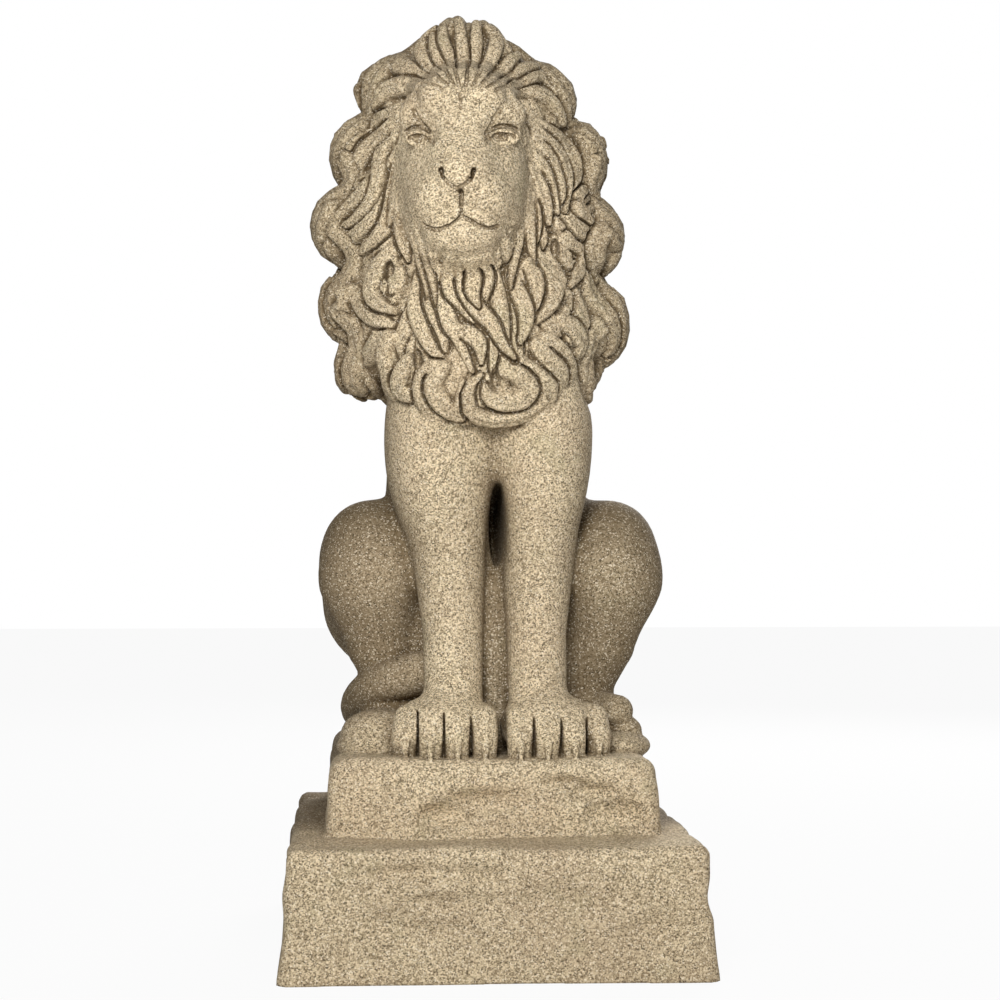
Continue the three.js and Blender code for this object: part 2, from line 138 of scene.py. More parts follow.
def limb(points: Sequence[Point]) -> Form:
    """A round limb.

    Args:
        points: Its line, each point as x, y, z and radius.

    Returns:
        The form.
    """
    line = np.array(points, float)

    def distance(x: Array, y: Array, z: Array) -> Array:
        """Distance from the limb's skin.

        Args:
            x: The points' places across.
            y: Their places back.
            z: Their heights.

        Returns:
            The distances, negative inside.
        """
        best = None
        for a, b in zip(line[:-1], line[1:]):
            u = b[:3] - a[:3]
            px, py, pz = x - a[0], y - a[1], z - a[2]
            t = np.clip((px * u[0] + py * u[1] + pz * u[2]) / max(float(u @ u), 1e-6), 0.0, 1.0)
            gap = np.sqrt((px - t * u[0]) ** 2 + (py - t * u[1]) ** 2 + (pz - t * u[2]) ** 2)
            gap -= a[3] + t * (b[3] - a[3])
            best = gap if best is None else np.minimum(best, gap)
        return best

    reach = line[:, 3:]
    return Form((line[:, :3] - reach).min(0), (line[:, :3] + reach).max(0), distance)


def mirrored(points: Sequence[Point], side: float) -> list[Point]:
    """The points of a limb on one side, x turned over for the other."""
    return [(side * x, y, z, r) for x, y, z, r in points]


def together(forms: Sequence[Form], k: float) -> Form:
    """Several forms run together into one.

    Args:
        forms: The forms.
        k: Size of the fillets between them.

    Returns:
        The joined form.
    """

    def distance(x: Array, y: Array, z: Array) -> Array:
        """Distance from the joined skin.

        Args:
            x: The points' places across.
            y: Their places back.
            z: Their heights.

        Returns:
            The distances, negative inside.
        """
        d = forms[0].distance(x, y, z)
        for form in forms[1:]:
            d = blended(d, form.distance(x, y, z), k)
        return d

    low = np.min([form.low for form in forms], 0)
    return Form(low, np.max([form.high for form in forms], 0), distance)


def route(points: Sequence[Point], count: int) -> Array:
    """A smooth line through points.

    Args:
        points: The points.
        count: How many steps the line has.

    Returns:
        The line, with count + 1 points.
    """
    p = np.array(points, float)
    p = np.vstack([2 * p[0] - p[1], p, 2 * p[-1] - p[-2]])
    places = np.linspace(0, len(p) - 3, count + 1)
    n = np.minimum(places.astype(int), len(p) - 4)
    t = (places - n)[:, None]
    a, b, c, d = p[n], p[n + 1], p[n + 2], p[n + 3]
    bend, twist = 2 * a - 5 * b + 4 * c - d, 3 * b - a - 3 * c + d
    return 0.5 * (2 * b + (c - a) * t + bend * t**2 + twist * t**3)


class Clay:
    """A block of clay, held as distances at the crossings of a grid whose rows may be uneven."""

    FAR = 60.0
    # How far out the skin feels for what shuts it in, and the weight of each reach.
    FEELERS = ((2.0, 0.30), (5.0, 0.40), (10.0, 0.35))
    FELT_AT_MOST = 1.4

    def __init__(self, rows: Sequence[Array]) -> None:
        """Sets up the block.

        Args:
            rows: The places of the grid's rows along x, y and z.
        """
        self.rows = [np.asarray(r, np.float32) for r in rows]
        self.field = np.full([len(r) for r in rows], self.FAR, np.float32)

    def window(self, low: Point, high: Point, margin: float) -> tuple[tuple[slice, ...], list[Array]]:
        """The part of the grid within a box.

        Args:
            low: The box's lowest corner.
            high: Its highest corner.
            margin: How far the part reaches past the box.

        Returns:
            The slices of the part, and its places along x, y and z.
        """
        at = []
        for axis in range(3):
            first = int(np.searchsorted(self.rows[axis], low[axis] - margin))
            last = int(np.searchsorted(self.rows[axis], high[axis] + margin))
            at.append(slice(first, max(last, first)))
        x, y, z = (r[s] for r, s in zip(self.rows, at))
        return tuple(at), [x[:, None, None], y[None, :, None], z[None, None, :]]

    def add(self, form: Form, k: float) -> None:
        """Puts a form on, with a fillet of size k."""
        at, place = self.window(form.low, form.high, k + 4.0)
        self.field[at] = blended(self.field[at], form.distance(*place), k)

    def cut(self, form: Form, k: float) -> None:
        """Takes a form out, with a rounding of size k."""
        at, place = self.window(form.low, form.high, k + 4.0)
        self.field[at] = -blended(-self.field[at], form.distance(*place), k)

    def nearby(self, points: Array) -> Array:
        """The distance at any points, held to a few millimetres, for feeling the way to the skin."""
        return np.clip(self.sampled(points), -3.0, 3.0)

    def shut_in(self, points: Array, outward: Array) -> Array:
        """How far points of the skin lie in hollows, from 0 in the open to about 1.

        Args:
            points: The points, one a row.
            outward: The way out from the skin at each.

        Returns:
            A number for each point.
        """
        deep = 0.0
        for reach, share in self.FEELERS:
            gap = self.sampled(points + outward * reach) / reach
            deep = deep + share * np.clip(1.0 - gap, 0.0, self.FELT_AT_MOST)
        return deep

    def sampled(self, points: Array) -> Array:
        """The distance at any points.

        Args:
            points: The points, one a row.

        Returns:
            Their distances.
        """
        part = []
        for axis in range(3):
            rows = self.rows[axis]
            place = np.interp(points[:, axis], rows, np.arange(len(rows)))
            first = np.clip(place.astype(int), 0, len(rows) - 2)
            part.append((first, place - first))
        (i, u), (j, v), (k, w) = part
        total = 0.0
        for di, fu in ((0, 1 - u), (1, u)):
            for dj, fv in ((0, 1 - v), (1, v)):
                for dk, fw in ((0, 1 - w), (1, w)):
                    total = total + fu * fv * fw * self.field[i + di, j + dj, k + dk]
        return total


def seen_on(distance: Callable[[Array], Array], sheet: Array) -> Array:
    """The points of a surface that lie behind points of an upright sheet through the lion's ankles.

    Args:
        distance: The surface's distance at points.
        sheet: The points on the sheet, as across and up.

    Returns:
        The points on the surface, or nearest to it on their lines of sight.
    """
    target = np.column_stack([sheet[:, 0], np.zeros(len(sheet)), sheet[:, 1]])
    way = target - VIEWPOINT
    reach = np.linalg.norm(way, axis=1)
    way /= reach[:, None]
    along = reach - SIGHT_BEFORE
    best, kept = np.full(len(sheet), np.inf), along.copy()
    done = np.zeros(len(sheet), bool)
    for _ in range(SIGHT_STEPS):
        gap = distance(VIEWPOINT + way * along[:, None])
        nearer = (gap < best) & ~done
        best, kept = np.where(nearer, gap, best), np.where(nearer, along, kept)
        done |= gap < TOUCH
        along = along + np.maximum(gap * SIGHT_SHARE, SIGHT_STEP)
        if done.all() or (along > reach + SIGHT_BEHIND).all():
            break
    return VIEWPOINT + way * kept[:, None]


@dataclass(frozen=True)
class Lock:
    """A lock of hair: a ribbon that lies on the mane, with an incised line round it."""

    line: Array
    outward: Array
    width: float
    rise: float = 4.5
    ridges: int = 1
    ridge_depth: float = 1.6
    moat: float = 1.5
    moat_depth: float = 3.0
    root_share: float = 0.7
    tip_share: float = 0.25
    root_run: float = 3.0  # how soon the root reaches the full width
    tip_power: float = 1.6
    squareness: float = 2.6  # 2 is a round back, more a flatter one
    keel: float = 4.0  # how much steeper the ribbon is below than above
    start: float = 0.15  # the share of the lock over which the line round it fades in
    reach: float = 14.0  # how high above the lock the line still cuts

    def carve(self, clay: Clay) -> None:
        """Cuts the line round the lock and puts the lock in.

        Args:
            clay: The clay to work on.
        """
        half = self.width / 2
        margin = half + self.moat + 5.0
        at, (x, y, z) = clay.window(self.line.min(0), self.line.max(0), margin)
        field_ = clay.field[at]
        if not field_.size:
            return
        steps = len(self.line) - 1
        best = np.full(field_.shape, np.inf, np.float32)
        off, up, share = (np.zeros(field_.shape, np.float32) for _ in range(3))
        for n in range(steps):
            a = self.line[n]
            tangent = self.line[n + 1] - a
            length = max(float(np.linalg.norm(tangent)), 1e-3)
            tangent = tangent / length
            normal = self.outward[n] + self.outward[n + 1]
            normal = normal - (normal @ tangent) * tangent
            normal = normal / max(float(np.linalg.norm(normal)), 1e-6)
            across = np.cross(tangent, normal)
            u, b, h = (
                (x * v[0] + y * v[1] + z * v[2] - float(a @ v)).astype(np.float32)
                for v in (tangent, across, normal)
            )
            t = np.clip(u / length, 0.0, 1.0)
            past = u - t * length
            gap = past * past + b * b + h * h
            nearer = gap < best
            np.copyto(best, gap, where=nearer)
            lateral = np.sign(b) * np.sqrt(b * b + past * past)
            np.copyto(off, lateral, where=nearer)
            np.copyto(up, h, where=nearer)
            np.copyto(share, (n + t) / steps, where=nearer)
        wide = np.minimum(self.root_share + (1 - self.root_share) * share * self.root_run, 1.0)
        late = np.clip((share - 0.5) / 0.5, 0.0, 1.0)
        wide *= 1.0 - (1.0 - self.tip_share) * late**self.tip_power
        wide *= half
        high = self.rise * (0.5 + 0.5 * wide / half)
        ridged = up
        if self.ridges > 1:
            phase = (off / wide + 1.0) * 0.5 * self.ridges
            groove = 1.0 - np.abs(np.sin(math.pi * np.clip(phase, 0.0, self.ridges)))
            ridged = up + self.ridge_depth * groove**1.4
        # A ribbon is round above and runs straight down below, into what carries it.
        tall = np.where(ridged > 0, ridged / high, ridged / (self.keel * high))
        round_off = np.sqrt(np.abs(off / wide) ** self.squareness + tall**2)
        body = (round_off - 1.0) * np.minimum(wide, high)
        fade = 4.0 * (1.0 - np.minimum(share / self.start, 1.0))
        trench = np.maximum(np.abs(off) - (wide + self.moat), -up - self.moat_depth) + fade
        trench = np.maximum(trench, up - self.reach)
        field_ = -blended(-field_, trench, 0.8)
        clay.field[at] = blended(field_, body, 0.9)


@dataclass
class Trunk:
    """The rib cage, sloping back, shoulders and rump."""

    chest: Sequence[Point] = ((-6, -5, 300, 68), (-3, 25, 200, 76), (0, 70, 105, 80))
    back: Sequence[Point] = ((-8, 20, 380, 60), (-4, 45, 290, 66), (0, 75, 160, 76), (0, 78, 90, 73))
    rump: Point = (0, 88, 58)
    rump_size: Point = (74, 66, 66)
    shoulder: Point = (42, -42, 235)
    shoulder_size: Point = (37, 48, 85)
    lean: float = -4.0  # how far both shoulders stand to the left

    def model(self, clay: Clay) -> None:
        """Puts the trunk on the clay.

        Args:
            clay: The clay to work on.
        """
        clay.add(limb(self.chest), 20)
        clay.add(limb(self.back), 24)
        clay.add(ball(self.rump, self.rump_size), 20)
        for side in SIDES:
            x, y, z = self.shoulder
            clay.add(ball((side * x + self.lean, y, z), self.shoulder_size), 20)


@dataclass
class Forelegs:
    """The forelegs, the webs behind and between them, and the forepaws."""

    upper: Sequence[Point] = ((34, -45, 240, 37), (34, -48, 150, 28))
    lower: Sequence[Point] = ((31.5, -62, 90, 22.5), (31.5, -72, 45, 22), (33, -80, 20, 22))
    outer_web: Sequence[Point] = ((46, -8, 20, 28), (40, -8, 90, 26), (40, -8, 150, 26))
    inner_web: Sequence[Point] = ((0, -24, 0, 30), (0, -22, 90, 30), (0, -10, 150, 30))
    ridge: Sequence[Point] = ((1, -46, 0, 13), (1, -44, 70, 10), (0, -38, 120, 7))
    pad: Point = (40, -86, 20)
    pad_size: Point = (37, 33, 25)
    toes: Sequence[float] = (13, 33, 53, 71)
    toe_radius: float = 10.2
    # The points of a toe: the shares of its place across and of its splay, y, z and how much thinner
    # it is there. Under it those of its claw: y, z and radius.
    toe_line: Sequence[Point] = (
        (0.94, 1.0, -82, 29, 1.5), (1.0, 0.5, -101, 27, 0), (1.0, 0.0, -110, 14, 0),
        (1.0, 0.0, -108, 3, 1),
    )
    claw: Sequence[Point] = ((-119, 11, 3.2), (-121.5, 6, 2.6), (-121, 0, 1.5))
    paws_x: float = 3.0
    gap: Point = (3, -40, 170)
    gap_size: Point = (6.2, 75, 32)
    cleft_at: Sequence[float] = (-117, 8)  # the middle of a cleft along y and z
    cleft_half: Sequence[float] = (15, 26)  # and its half sizes
    toe_cleft: float = 0.9
    paw_cleft: float = 2.8
    outer_from: float = 60.0  # a toe further out than this is the outer one, which stands back
    outer_back: float = 9.0
    outer_splay: float = 4.0

    def model(self, clay: Clay) -> None:
        """Puts the legs and paws on the clay.

        Args:
            clay: The clay to work on.
        """
        for side in SIDES:
            clay.add(limb(mirrored([*self.upper, *self.lower], side)), 9)
            clay.add(limb(mirrored(self.outer_web, side)), 10)
        clay.add(limb(self.inner_web), 12)
        clay.add(limb(self.ridge), 10)
        clay.cut(ball(self.gap, self.gap_size), 8)
        for side in SIDES:
            x, y, z = self.pad
            clay.add(ball((side * x, y, z), self.pad_size), 8)
            for toe in self.toes:
                self.toe(clay, side, toe)
            for inner, outer in zip(self.toes[:-1], self.toes[1:]):
                self.part(clay, side * (inner + outer) / 2, self.toe_cleft)
        self.part(clay, 0.0, self.paw_cleft)

    def part(self, clay: Clay, x: float, half: float) -> None:
        """Parts two toes, or the two paws, with a narrow cleft.

        Args:
            clay: The clay to work on.
            x: Where the cleft lies, out from between the paws.
            half: Half its width.
        """
        back = self.outer_back if abs(x) > self.outer_from else 0.0
        y, z = self.cleft_at
        clay.cut(ball((self.paws_x + x, back + y, z), (half, *self.cleft_half)), 1.5)

    def toe(self, clay: Clay, side: float, x: float) -> None:
        """One toe with its knuckle and its drop-shaped claw.

        Args:
            clay: The clay to work on.
            side: The leg's side.
            x: How far out the toe stands.
        """
        outer = x > self.outer_from
        back, splay = (self.outer_back, self.outer_splay) if outer else (0.0, 0.0)
        line = [
            (self.paws_x + side * (x * out - splay * turn), back + y, z, self.toe_radius - less)
            for out, turn, y, z, less in self.toe_line
        ]
        clay.add(limb(line), 1.4)
        claw_x = self.paws_x + side * x
        clay.add(limb([(claw_x, back + y, z, radius) for y, z, radius in self.claw]), 0.8)


@dataclass
class Haunches:
    """The thighs, knees, shins and hind feet."""

    thigh: Sequence[Point] = ((70, 72, 112, 62), (80, 22, 132, 53), (89, -12, 131, 42))
    seat: Sequence[Point] = ((48, 76, 50, 50), (58, 48, 56, 42))
    shin: Sequence[Point] = ((91, -14, 126, 38), (84, -10, 80, 28), (70, -2, 42, 22))
    foot: Sequence[Point] = ((74, 66, 22, 22), (80, 10, 22, 22), (80, -24, 24, 19))
    knee: Point = (95, 4, 153)
    knee_size: Point = (33, 42, 35)
    toes: Sequence[float] = (58, 71, 84)
    outer_toes: Sequence[Point] = ((94, -50, 29, 12), (101, -48, 13, 12))
    toe_radius: float = 11.0
    foot_pad: Point = (92, -50, 3)
    foot_pad_size: Point = (27, 30, 12)
    hidden_paw: Point = (-88, -52, 14)
    hidden_paw_size: Point = (27, 24, 17)

    def model(self, clay: Clay) -> None:
        """Puts both haunches on the clay.

        Args:
            clay: The clay to work on.
        """
        for side in SIDES:
            clay.add(limb(mirrored(self.thigh, side)), 16)
            x, y, z = self.knee
            clay.add(ball((side * x, y, z), self.knee_size), 16)
            clay.add(limb(mirrored(self.seat, side)), 16)
            clay.add(limb(mirrored(self.shin, side)), 12)
            clay.add(limb(mirrored(self.foot, side)), 10)
            for n, x in enumerate(self.toes):
                r = self.toe_radius
                toe = [(x - 4, -30 + n * 3, 32, r), (x + 2, -48 + n * 4, 14, r)]
                clay.add(limb(mirrored(toe, side)), 2.5)
            x, y, z = self.foot_pad
            clay.add(ball((side * x, y, z), self.foot_pad_size), 7)
        for x, y, z, r in self.outer_toes:
            clay.add(limb([(x - 14, y + 26, z + 2, r), (x, y, z, r)]), 2.0)
        clay.add(ball(self.hidden_paw, self.hidden_paw_size), 8)


@dataclass
class Tail:
    """The tail, from the rump round the haunch to its tuft over the hind foot."""

    line: Sequence[Point] = (
        (0, 140, 34), (-50, 146, 20), (-92, 108, 18), (-101, 50, 22),
        (-100, 6, 34), (-88, -28, 47), (-64, -42, 56), (-40, -44, 60),
    )
    thin: float = 12.0
    thick: float = 17.0

    def model(self, clay: Clay) -> None:
        """Puts the tail on the clay.

        Args:
            clay: The clay to work on.
        """
        line = route(self.line, 18)
        radii = np.linspace(self.thin, self.thick, len(line))
        clay.add(limb(np.column_stack([line, radii])), 4)


# Each strand at the front as its points on the sheet, across and up, from root to tip. Those of
# the crest also have their lift, before the points, and their width and number of ridges, after.
CREST = (
    (6, ((-38.9, 513.5), (-57, 520.5), (-71, 527), (-84, 526), (-94, 517), (-99, 504)), 17, 2),
    (6, ((-44, 507), (-62, 511), (-77, 508), (-89, 499), (-96, 489)), 16, 2),
    (4, ((43, 504.6), (50.6, 497), (57, 490), (59.8, 482.8)), 12, 1),
    (4, ((12.2, 505.6), (28.1, 508.4), (41.6, 505), (50, 496.5), (54.7, 485)), 12, 1),
    (4, ((6.2, 508), (22, 515), (36, 520), (45.7, 516), (49.3, 508)), 12, 1),
    (4, ((0.3, 510.4), (14, 519), (26, 526), (35, 526)), 11, 1),
    (4, ((-5.6, 511.7), (6.6, 521.5), (14.2, 531), (19.5, 535)), 11, 1),
    (5, ((-29.6, 512.8), (-44, 523.5), (-51, 533), (-52, 540), (-47, 548), (-38, 555)), 12, 1),
    (5, ((-27.2, 515.2), (-36.6, 527.3), (-41.4, 538.9), (-42.8, 548)), 11, 1),
    (5, ((-10.4, 512.8), (-1.5, 529.4), (3.0, 541.7), (2.0, 550.1), (-4, 556)), 12, 1),
    (5, ((-25.3, 516.4), (-30.7, 533), (-35.4, 545), (-36, 556)), 10, 1),
    (5, ((-15.8, 515.2), (-13.4, 529.4), (-11.6, 544.9), (-11.6, 558)), 11, 1),
    (5, ((-21.8, 514), (-21.1, 527.1), (-21.7, 541.3), (-24, 560)), 11, 1),
)
LEFT_SIDE = (
    ((-68, 495.9), (-84.9, 486.6), (-98.4, 479.9), (-108.5, 469.8), (-116.1, 456.3), (-119.5, 442.8),
     (-116, 430)),
    ((-71.4, 461.4), (-77.3, 446.2), (-81.5, 427.7), (-91.6, 410.7), (-103.5, 399), (-108.5, 386.3),
     (-106, 368)),
    ((-72.2, 474.8), (-81.5, 468.1), (-85.7, 454.6), (-86.6, 439.4), (-91.6, 424.2), (-103.5, 409.1),
     (-118.6, 399)),
    ((-72.2, 486.6), (-83.2, 474.8), (-96.7, 461.4), (-103.5, 447.9), (-103.5, 432.6)),
    ((-69.7, 461.4), (-72.2, 442.8), (-74.8, 424.2), (-79.8, 405.7), (-89.9, 392.2), (-100.1, 382.1)),
    ((-68, 424.2), (-68, 407.4), (-66.4, 390.5), (-63, 376.3)),
    ((-63, 420), (-59.6, 403.2), (-58.7, 386.3)),
)
LEFT_BIB = (
    ((-117.5, 302.4), (-115.6, 288.2), (-106.2, 276), (-91.1, 262)),
    ((-106.2, 286.3), (-96.8, 278.8), (-85.6, 267.4), (-79.8, 255.2)),
    ((-87.4, 325.9), (-85.6, 316.4), (-94.9, 301.4), (-106.2, 290)),
    ((-112.8, 351.4), (-121.4, 354.1), (-127.9, 344.7), (-127.9, 330.6), (-119.4, 318.4), (-106.2, 313.6)),
    ((-113.7, 344.7), (-112.8, 335.3), (-103.5, 325.8)),
    ((-106.2, 352.3), (-98.7, 339.1), (-87.4, 330.6), (-76, 325.8)),
    ((-74.1, 386.2), (-83.6, 374.9), (-91.1, 360.8), (-92.1, 349.5), (-85.6, 340.9), (-74.1, 336.3)),
    ((-76.2, 373.2), (-72.4, 360.8), (-76.2, 351.4)),
)
BEARD = (
    ((-50.6, 377.1), (-55.2, 353.4), (-57.2, 337.4), (-51.5, 320.3), (-44, 306.3), (-36.6, 302.4)),
    ((-44, 381.8), (-45.9, 358), (-44, 339.2), (-36.6, 320.3), (-34.5, 306.3)),
    ((36.2, 372.2), (45.6, 358), (50.3, 352.4), (44.7, 339.2), (34.2, 328.1)),
    ((29.6, 374.1), (35.2, 358), (35.2, 339.2)),
    ((16.3, 367.5), (20.2, 353.4), (26.7, 337.4), (26.7, 324.2), (23, 312.8)),
    ((-3.4, 381.8), (3.1, 358), (7.8, 334.5), (9.7, 311), (18.2, 298.7)),
    ((-39.3, 372.2), (-40.2, 353.4), (-34.5, 339.2), (-30.8, 325.1), (-25.1, 315.6), (-13.8, 290.2)),
    ((-8.2, 380.7), (-3.4, 362.8), (-7.2, 346.8), (-7.2, 337.4)),
    ((-30.8, 380.7), (-31.9, 353.4), (-21.4, 342.9), (-10.1, 331.7), (-0.8, 320.3), (2.2, 306.3),
     (1.2, 290.2)),
    ((-21.4, 378.8), (-21.4, 358), (-15.7, 344.9), (-6.2, 333.5), (1.2, 326), (8.8, 311), (18.2, 300.5)),
    ((-15.7, 378.8), (-12.8, 362.8), (-13.8, 350.6), (-9.1, 339.2)),
    ((-25.1, 322.2), (-15.7, 318.4), (-8.2, 311), (-7.2, 297)),
)
RIGHT_BIB = (
    ((85.8, 399.7), (98.7, 393.7), (101.7, 381.8), (97.7, 369.9), (91.8, 360)),
    ((75.9, 367), (85.8, 360), (95.7, 350), (102.7, 335.1), (101.7, 315.3), (93.7, 300.5), (77.8, 276.7)),
    ((75.9, 300.4), (71.9, 290.7), (70, 280.6)),
    ((56, 330.4), (66, 322.2), (71, 310.3), (66, 300.4)),
    ((44.1, 315.3), (54.1, 305.5), (61, 292.5), (62, 280.6), (58, 273.6)),
    ((36.2, 310.3), (46.1, 297.4), (54.1, 287.6), (53.1, 275.6), (46.1, 270.7)),
    ((54.1, 388.8), (61, 393.7), (71, 389.7), (73.9, 379.8), (68.9, 367.9), (62, 357)),
)
RIGHT_SIDE = (
    ((88.4, 436.7), (92.1, 430.1), (91.3, 420.7), (88.4, 413.1)),
    ((73.1, 422.5), (86.4, 415.2), (95.9, 405.6), (101.6, 392.4)),
    ((64.8, 479.1), (77, 470.6), (88.4, 457.5), (90.2, 447.1), (87.4, 437.8), (73.1, 422.5)),
    ((59.9, 411.3), (67.7, 402), (77, 395.2), (84.6, 384.1)),
    ((31.8, 486.6), (45, 478.2), (56.3, 469.7), (64.8, 456.5), (67.7, 442.5), (62, 431.9)),
    ((33.7, 479.1), (45, 469.7), (54.5, 458.4), (59.1, 445.2), (60.1, 433.9), (58.2, 415)),
    ((34.6, 471.5), (45, 458.4), (50.6, 444.2), (54.5, 430.1), (52.6, 418.8)),
    ((34.6, 460.3), (41.2, 447.1), (46.9, 430.1), (52.6, 414.1)),
    ((32.7, 448.9), (38.4, 433.9), (43.1, 418.8), (45.9, 405.6)),
    ((30, 428.2), (33.7, 409.4), (35.6, 390.5)),
)
CHEEKS = (
    ((-68.5, 461.9), (-70.8, 442.5), (-73.9, 423), (-77.8, 403.6)),
    ((-62.5, 432), (-61.5, 409), (-57.6, 388), (-51.3, 364.7), (-48.2, 345.2)),
    ((-55.5, 402), (-51.3, 384.1), (-45.1, 364.7), (-42, 341.3)),
    ((30.5, 432), (30.5, 411.3), (31.5, 391.9), (34.2, 372)),
    ((22.5, 404), (21.5, 390), (17.8, 374.8), (15.6, 354)),
)
BOTTOM = (
    ((-78, 316.4), (-81.7, 302.4), (-78, 293.1), (-76.2, 280.6), (-72.4, 270.3), (-63, 263.7),
     (-53.4, 262.7)),
    ((-63, 297.7), (-68.5, 286.3), (-68.5, 276), (-60.9, 273.1), (-54.5, 276)),
    ((-40.2, 297), (-49.8, 287.6), (-51.5, 273.2), (-45.9, 261.2), (-32.7, 251.5), (-17.6, 254.3)),
    ((-36.6, 293.9), (-44, 279.8), (-37.3, 265.8), (-23.3, 259.1), (-20.4, 273.2), (-21.4, 283)),
    ((12.4, 300.5), (26.7, 293.9), (40.8, 282.6), (44.7, 274.2), (36.2, 263.8), (20.2, 256.3),
     (-1.6, 254.3), (-15.7, 260.9), (-16.6, 277.9), (-8.2, 287.4)),
    ((5.1, 292.1), (20.2, 289.2), (29.6, 277.9), (23.9, 269.4), (10.7, 266.6), (-1.6, 270.5),
     (-4.4, 279.8)),
)
# The eyes of the curls, which are drilled.
PITS = ((-77.8, 368.5), (3.9, 284.5), (83.9, 343.1), (50.6, 386.4), (-56.0, 299.3))


@dataclass
class Mane:
    """The mane: its mass, the listed locks of the front, and rows of locks round the back."""

    masses: Sequence[tuple[Point, Point]] = (
        ((-20, -25, 462), (76, 68, 84)),
        ((-18, -26, 400), (100, 76, 80)),
        ((-14, -28, 328), (98, 74, 78)),
        ((-12, -64, 312), (74, 50, 62)),
        ((-12, -76, 289), (58, 34, 42)),
        ((-12, 18, 340), (86, 66, 96)),
        ((-22, -36, 520), (34, 34, 36)),
    )
    lobes: Sequence[tuple[Point, Point]] = (
        ((-76, -22, 503), (27, 32, 26)),
        ((-101, -20, 455), (21, 34, 28)),
        ((-114, -20, 399), (22, 36, 27)),
        ((-109, -20, 339), (21, 36, 27)),
        ((-100, -22, 290), (18, 32, 22)),
        ((40, -22, 496), (23, 32, 27)),
        ((68, -20, 451), (19, 34, 28)),
        ((79, -20, 391), (20, 36, 27)),
        ((81, -20, 324), (21, 38, 32)),
        ((62, -24, 281), (20, 32, 18)),
    )
    run: float = 20.0  # the fillets between the masses
    lobe_run: float = 9.0  # and between the lobes of the rim
    sunk: float = 2.5  # how far the mass lies under the locks' line
    strand_width: float = 16.0
    # The rows are laid out round the mane's middle, in degrees: the heights of their roots, how far
    # apart their locks are, and how far a lock hangs. The rows nearer than `bare` to straight ahead
    # lie under the front locks.
    middle: Point = (-16, -10, 400)
    levels: Sequence[float] = (-40, -24, -8, 8, 24, 41, 58, 76)
    pitch: float = 17.0
    fall: float = 34.0
    bare: float = 66.0
    farthest: float = 300.0
    halvings: int = 14
    hem: float = -64.0  # how low the rows hang ahead, in degrees from the mane's middle
    hem_rise: float = 26.0  # and how much less low they hang behind
    row_rise: float = 5.5
    # The least and the most of what is drawn at random for each lock of the rows.
    shifts: Sequence[float] = (-0.15, 0.15)
    falls: Sequence[float] = (0.8, 1.15)
    sways: Sequence[float] = (4, 10)
    widths: Sequence[float] = (18, 23)
    lifts: Sequence[float] = (-2.5, 0.0)
    fore_sunk: float = 1.5
    cheek_width: float = 9.5
    crest_sunk: float = 2.5
    pit_size: Point = (3.2, 9, 7)
    seed: int = 7
    under: Sequence[Form] = ()
    form: Form = field(init=False)
    ground: Form = field(init=False)

    def __post_init__(self) -> None:
        """Runs the masses together, alone and with the forms that carry the outermost locks."""
        base = together([ball(c, r) for c, r in self.masses], self.run)
        self.form = together([base, *(ball(c, r) for c, r in self.lobes)], self.lobe_run)
        self.ground = together([self.form, *self.under], self.lobe_run)

    def gap(self, points: Array) -> Array:
        """The distance of points from the mane and the back under it."""
        return self.ground.distance(points[:, 0], points[:, 1], points[:, 2])

    def outward(self, points: Array) -> Array:
        """The way out from the mane at points, one unit vector a row.

        Args:
            points: The points, one a row.

        Returns:
            The unit vectors.
        """
        step = 2.0
        slope = [
            self.gap(points + step * axis) - self.gap(points - step * axis) for axis in np.eye(3)
        ]
        way = np.column_stack(slope)
        return way / np.maximum(np.linalg.norm(way, axis=1, keepdims=True), 1e-6)

    def round(self, bearing: Array, level: Array) -> Array:
        """Points of the mane at bearings from straight ahead and heights above level, in degrees.

        Args:
            bearing: The bearings.
            level: The heights, as angles.

        Returns:
            The points, one a row.
        """
        a, e = np.radians(bearing), np.radians(level)
        way = np.column_stack([np.sin(a) * np.cos(e), -np.cos(a) * np.cos(e), np.sin(e)])
        near, far = np.zeros(len(a)), np.full(len(a), self.farthest)
        for _ in range(self.halvings):
            middle = (near + far) / 2
            inside = self.gap(np.array(self.middle) + way * middle[:, None]) < 0
            near, far = np.where(inside, middle, near), np.where(inside, far, middle)
        return np.array(self.middle) + way * near[:, None]

    def lay(self, clay: Clay, points: Array, lift: float, **sizes: float) -> None:
        """Lays one lock along points of the mane's skin."""
        out = self.outward(points)
        Lock(points + out * lift, out, **sizes).carve(clay)

    def strand(self, clay: Clay, sheet: Sequence[Point], lift: float, **sizes: float) -> None:
        """Lays a lock that is given on the sheet.

        Args:
            clay: The clay to work on.
            sheet: Its points on the sheet, from root to tip.
            lift: How far its line lies off the mane.
            sizes: Its other sizes, as in Lock.
        """
        steps = max(6, min(14, 2 * len(sheet)))
        points = seen_on(self.gap, route(sheet, steps))
        points -= self.outward(points) * self.gap(points)[:, None]
        self.lay(clay, points, lift, **sizes)

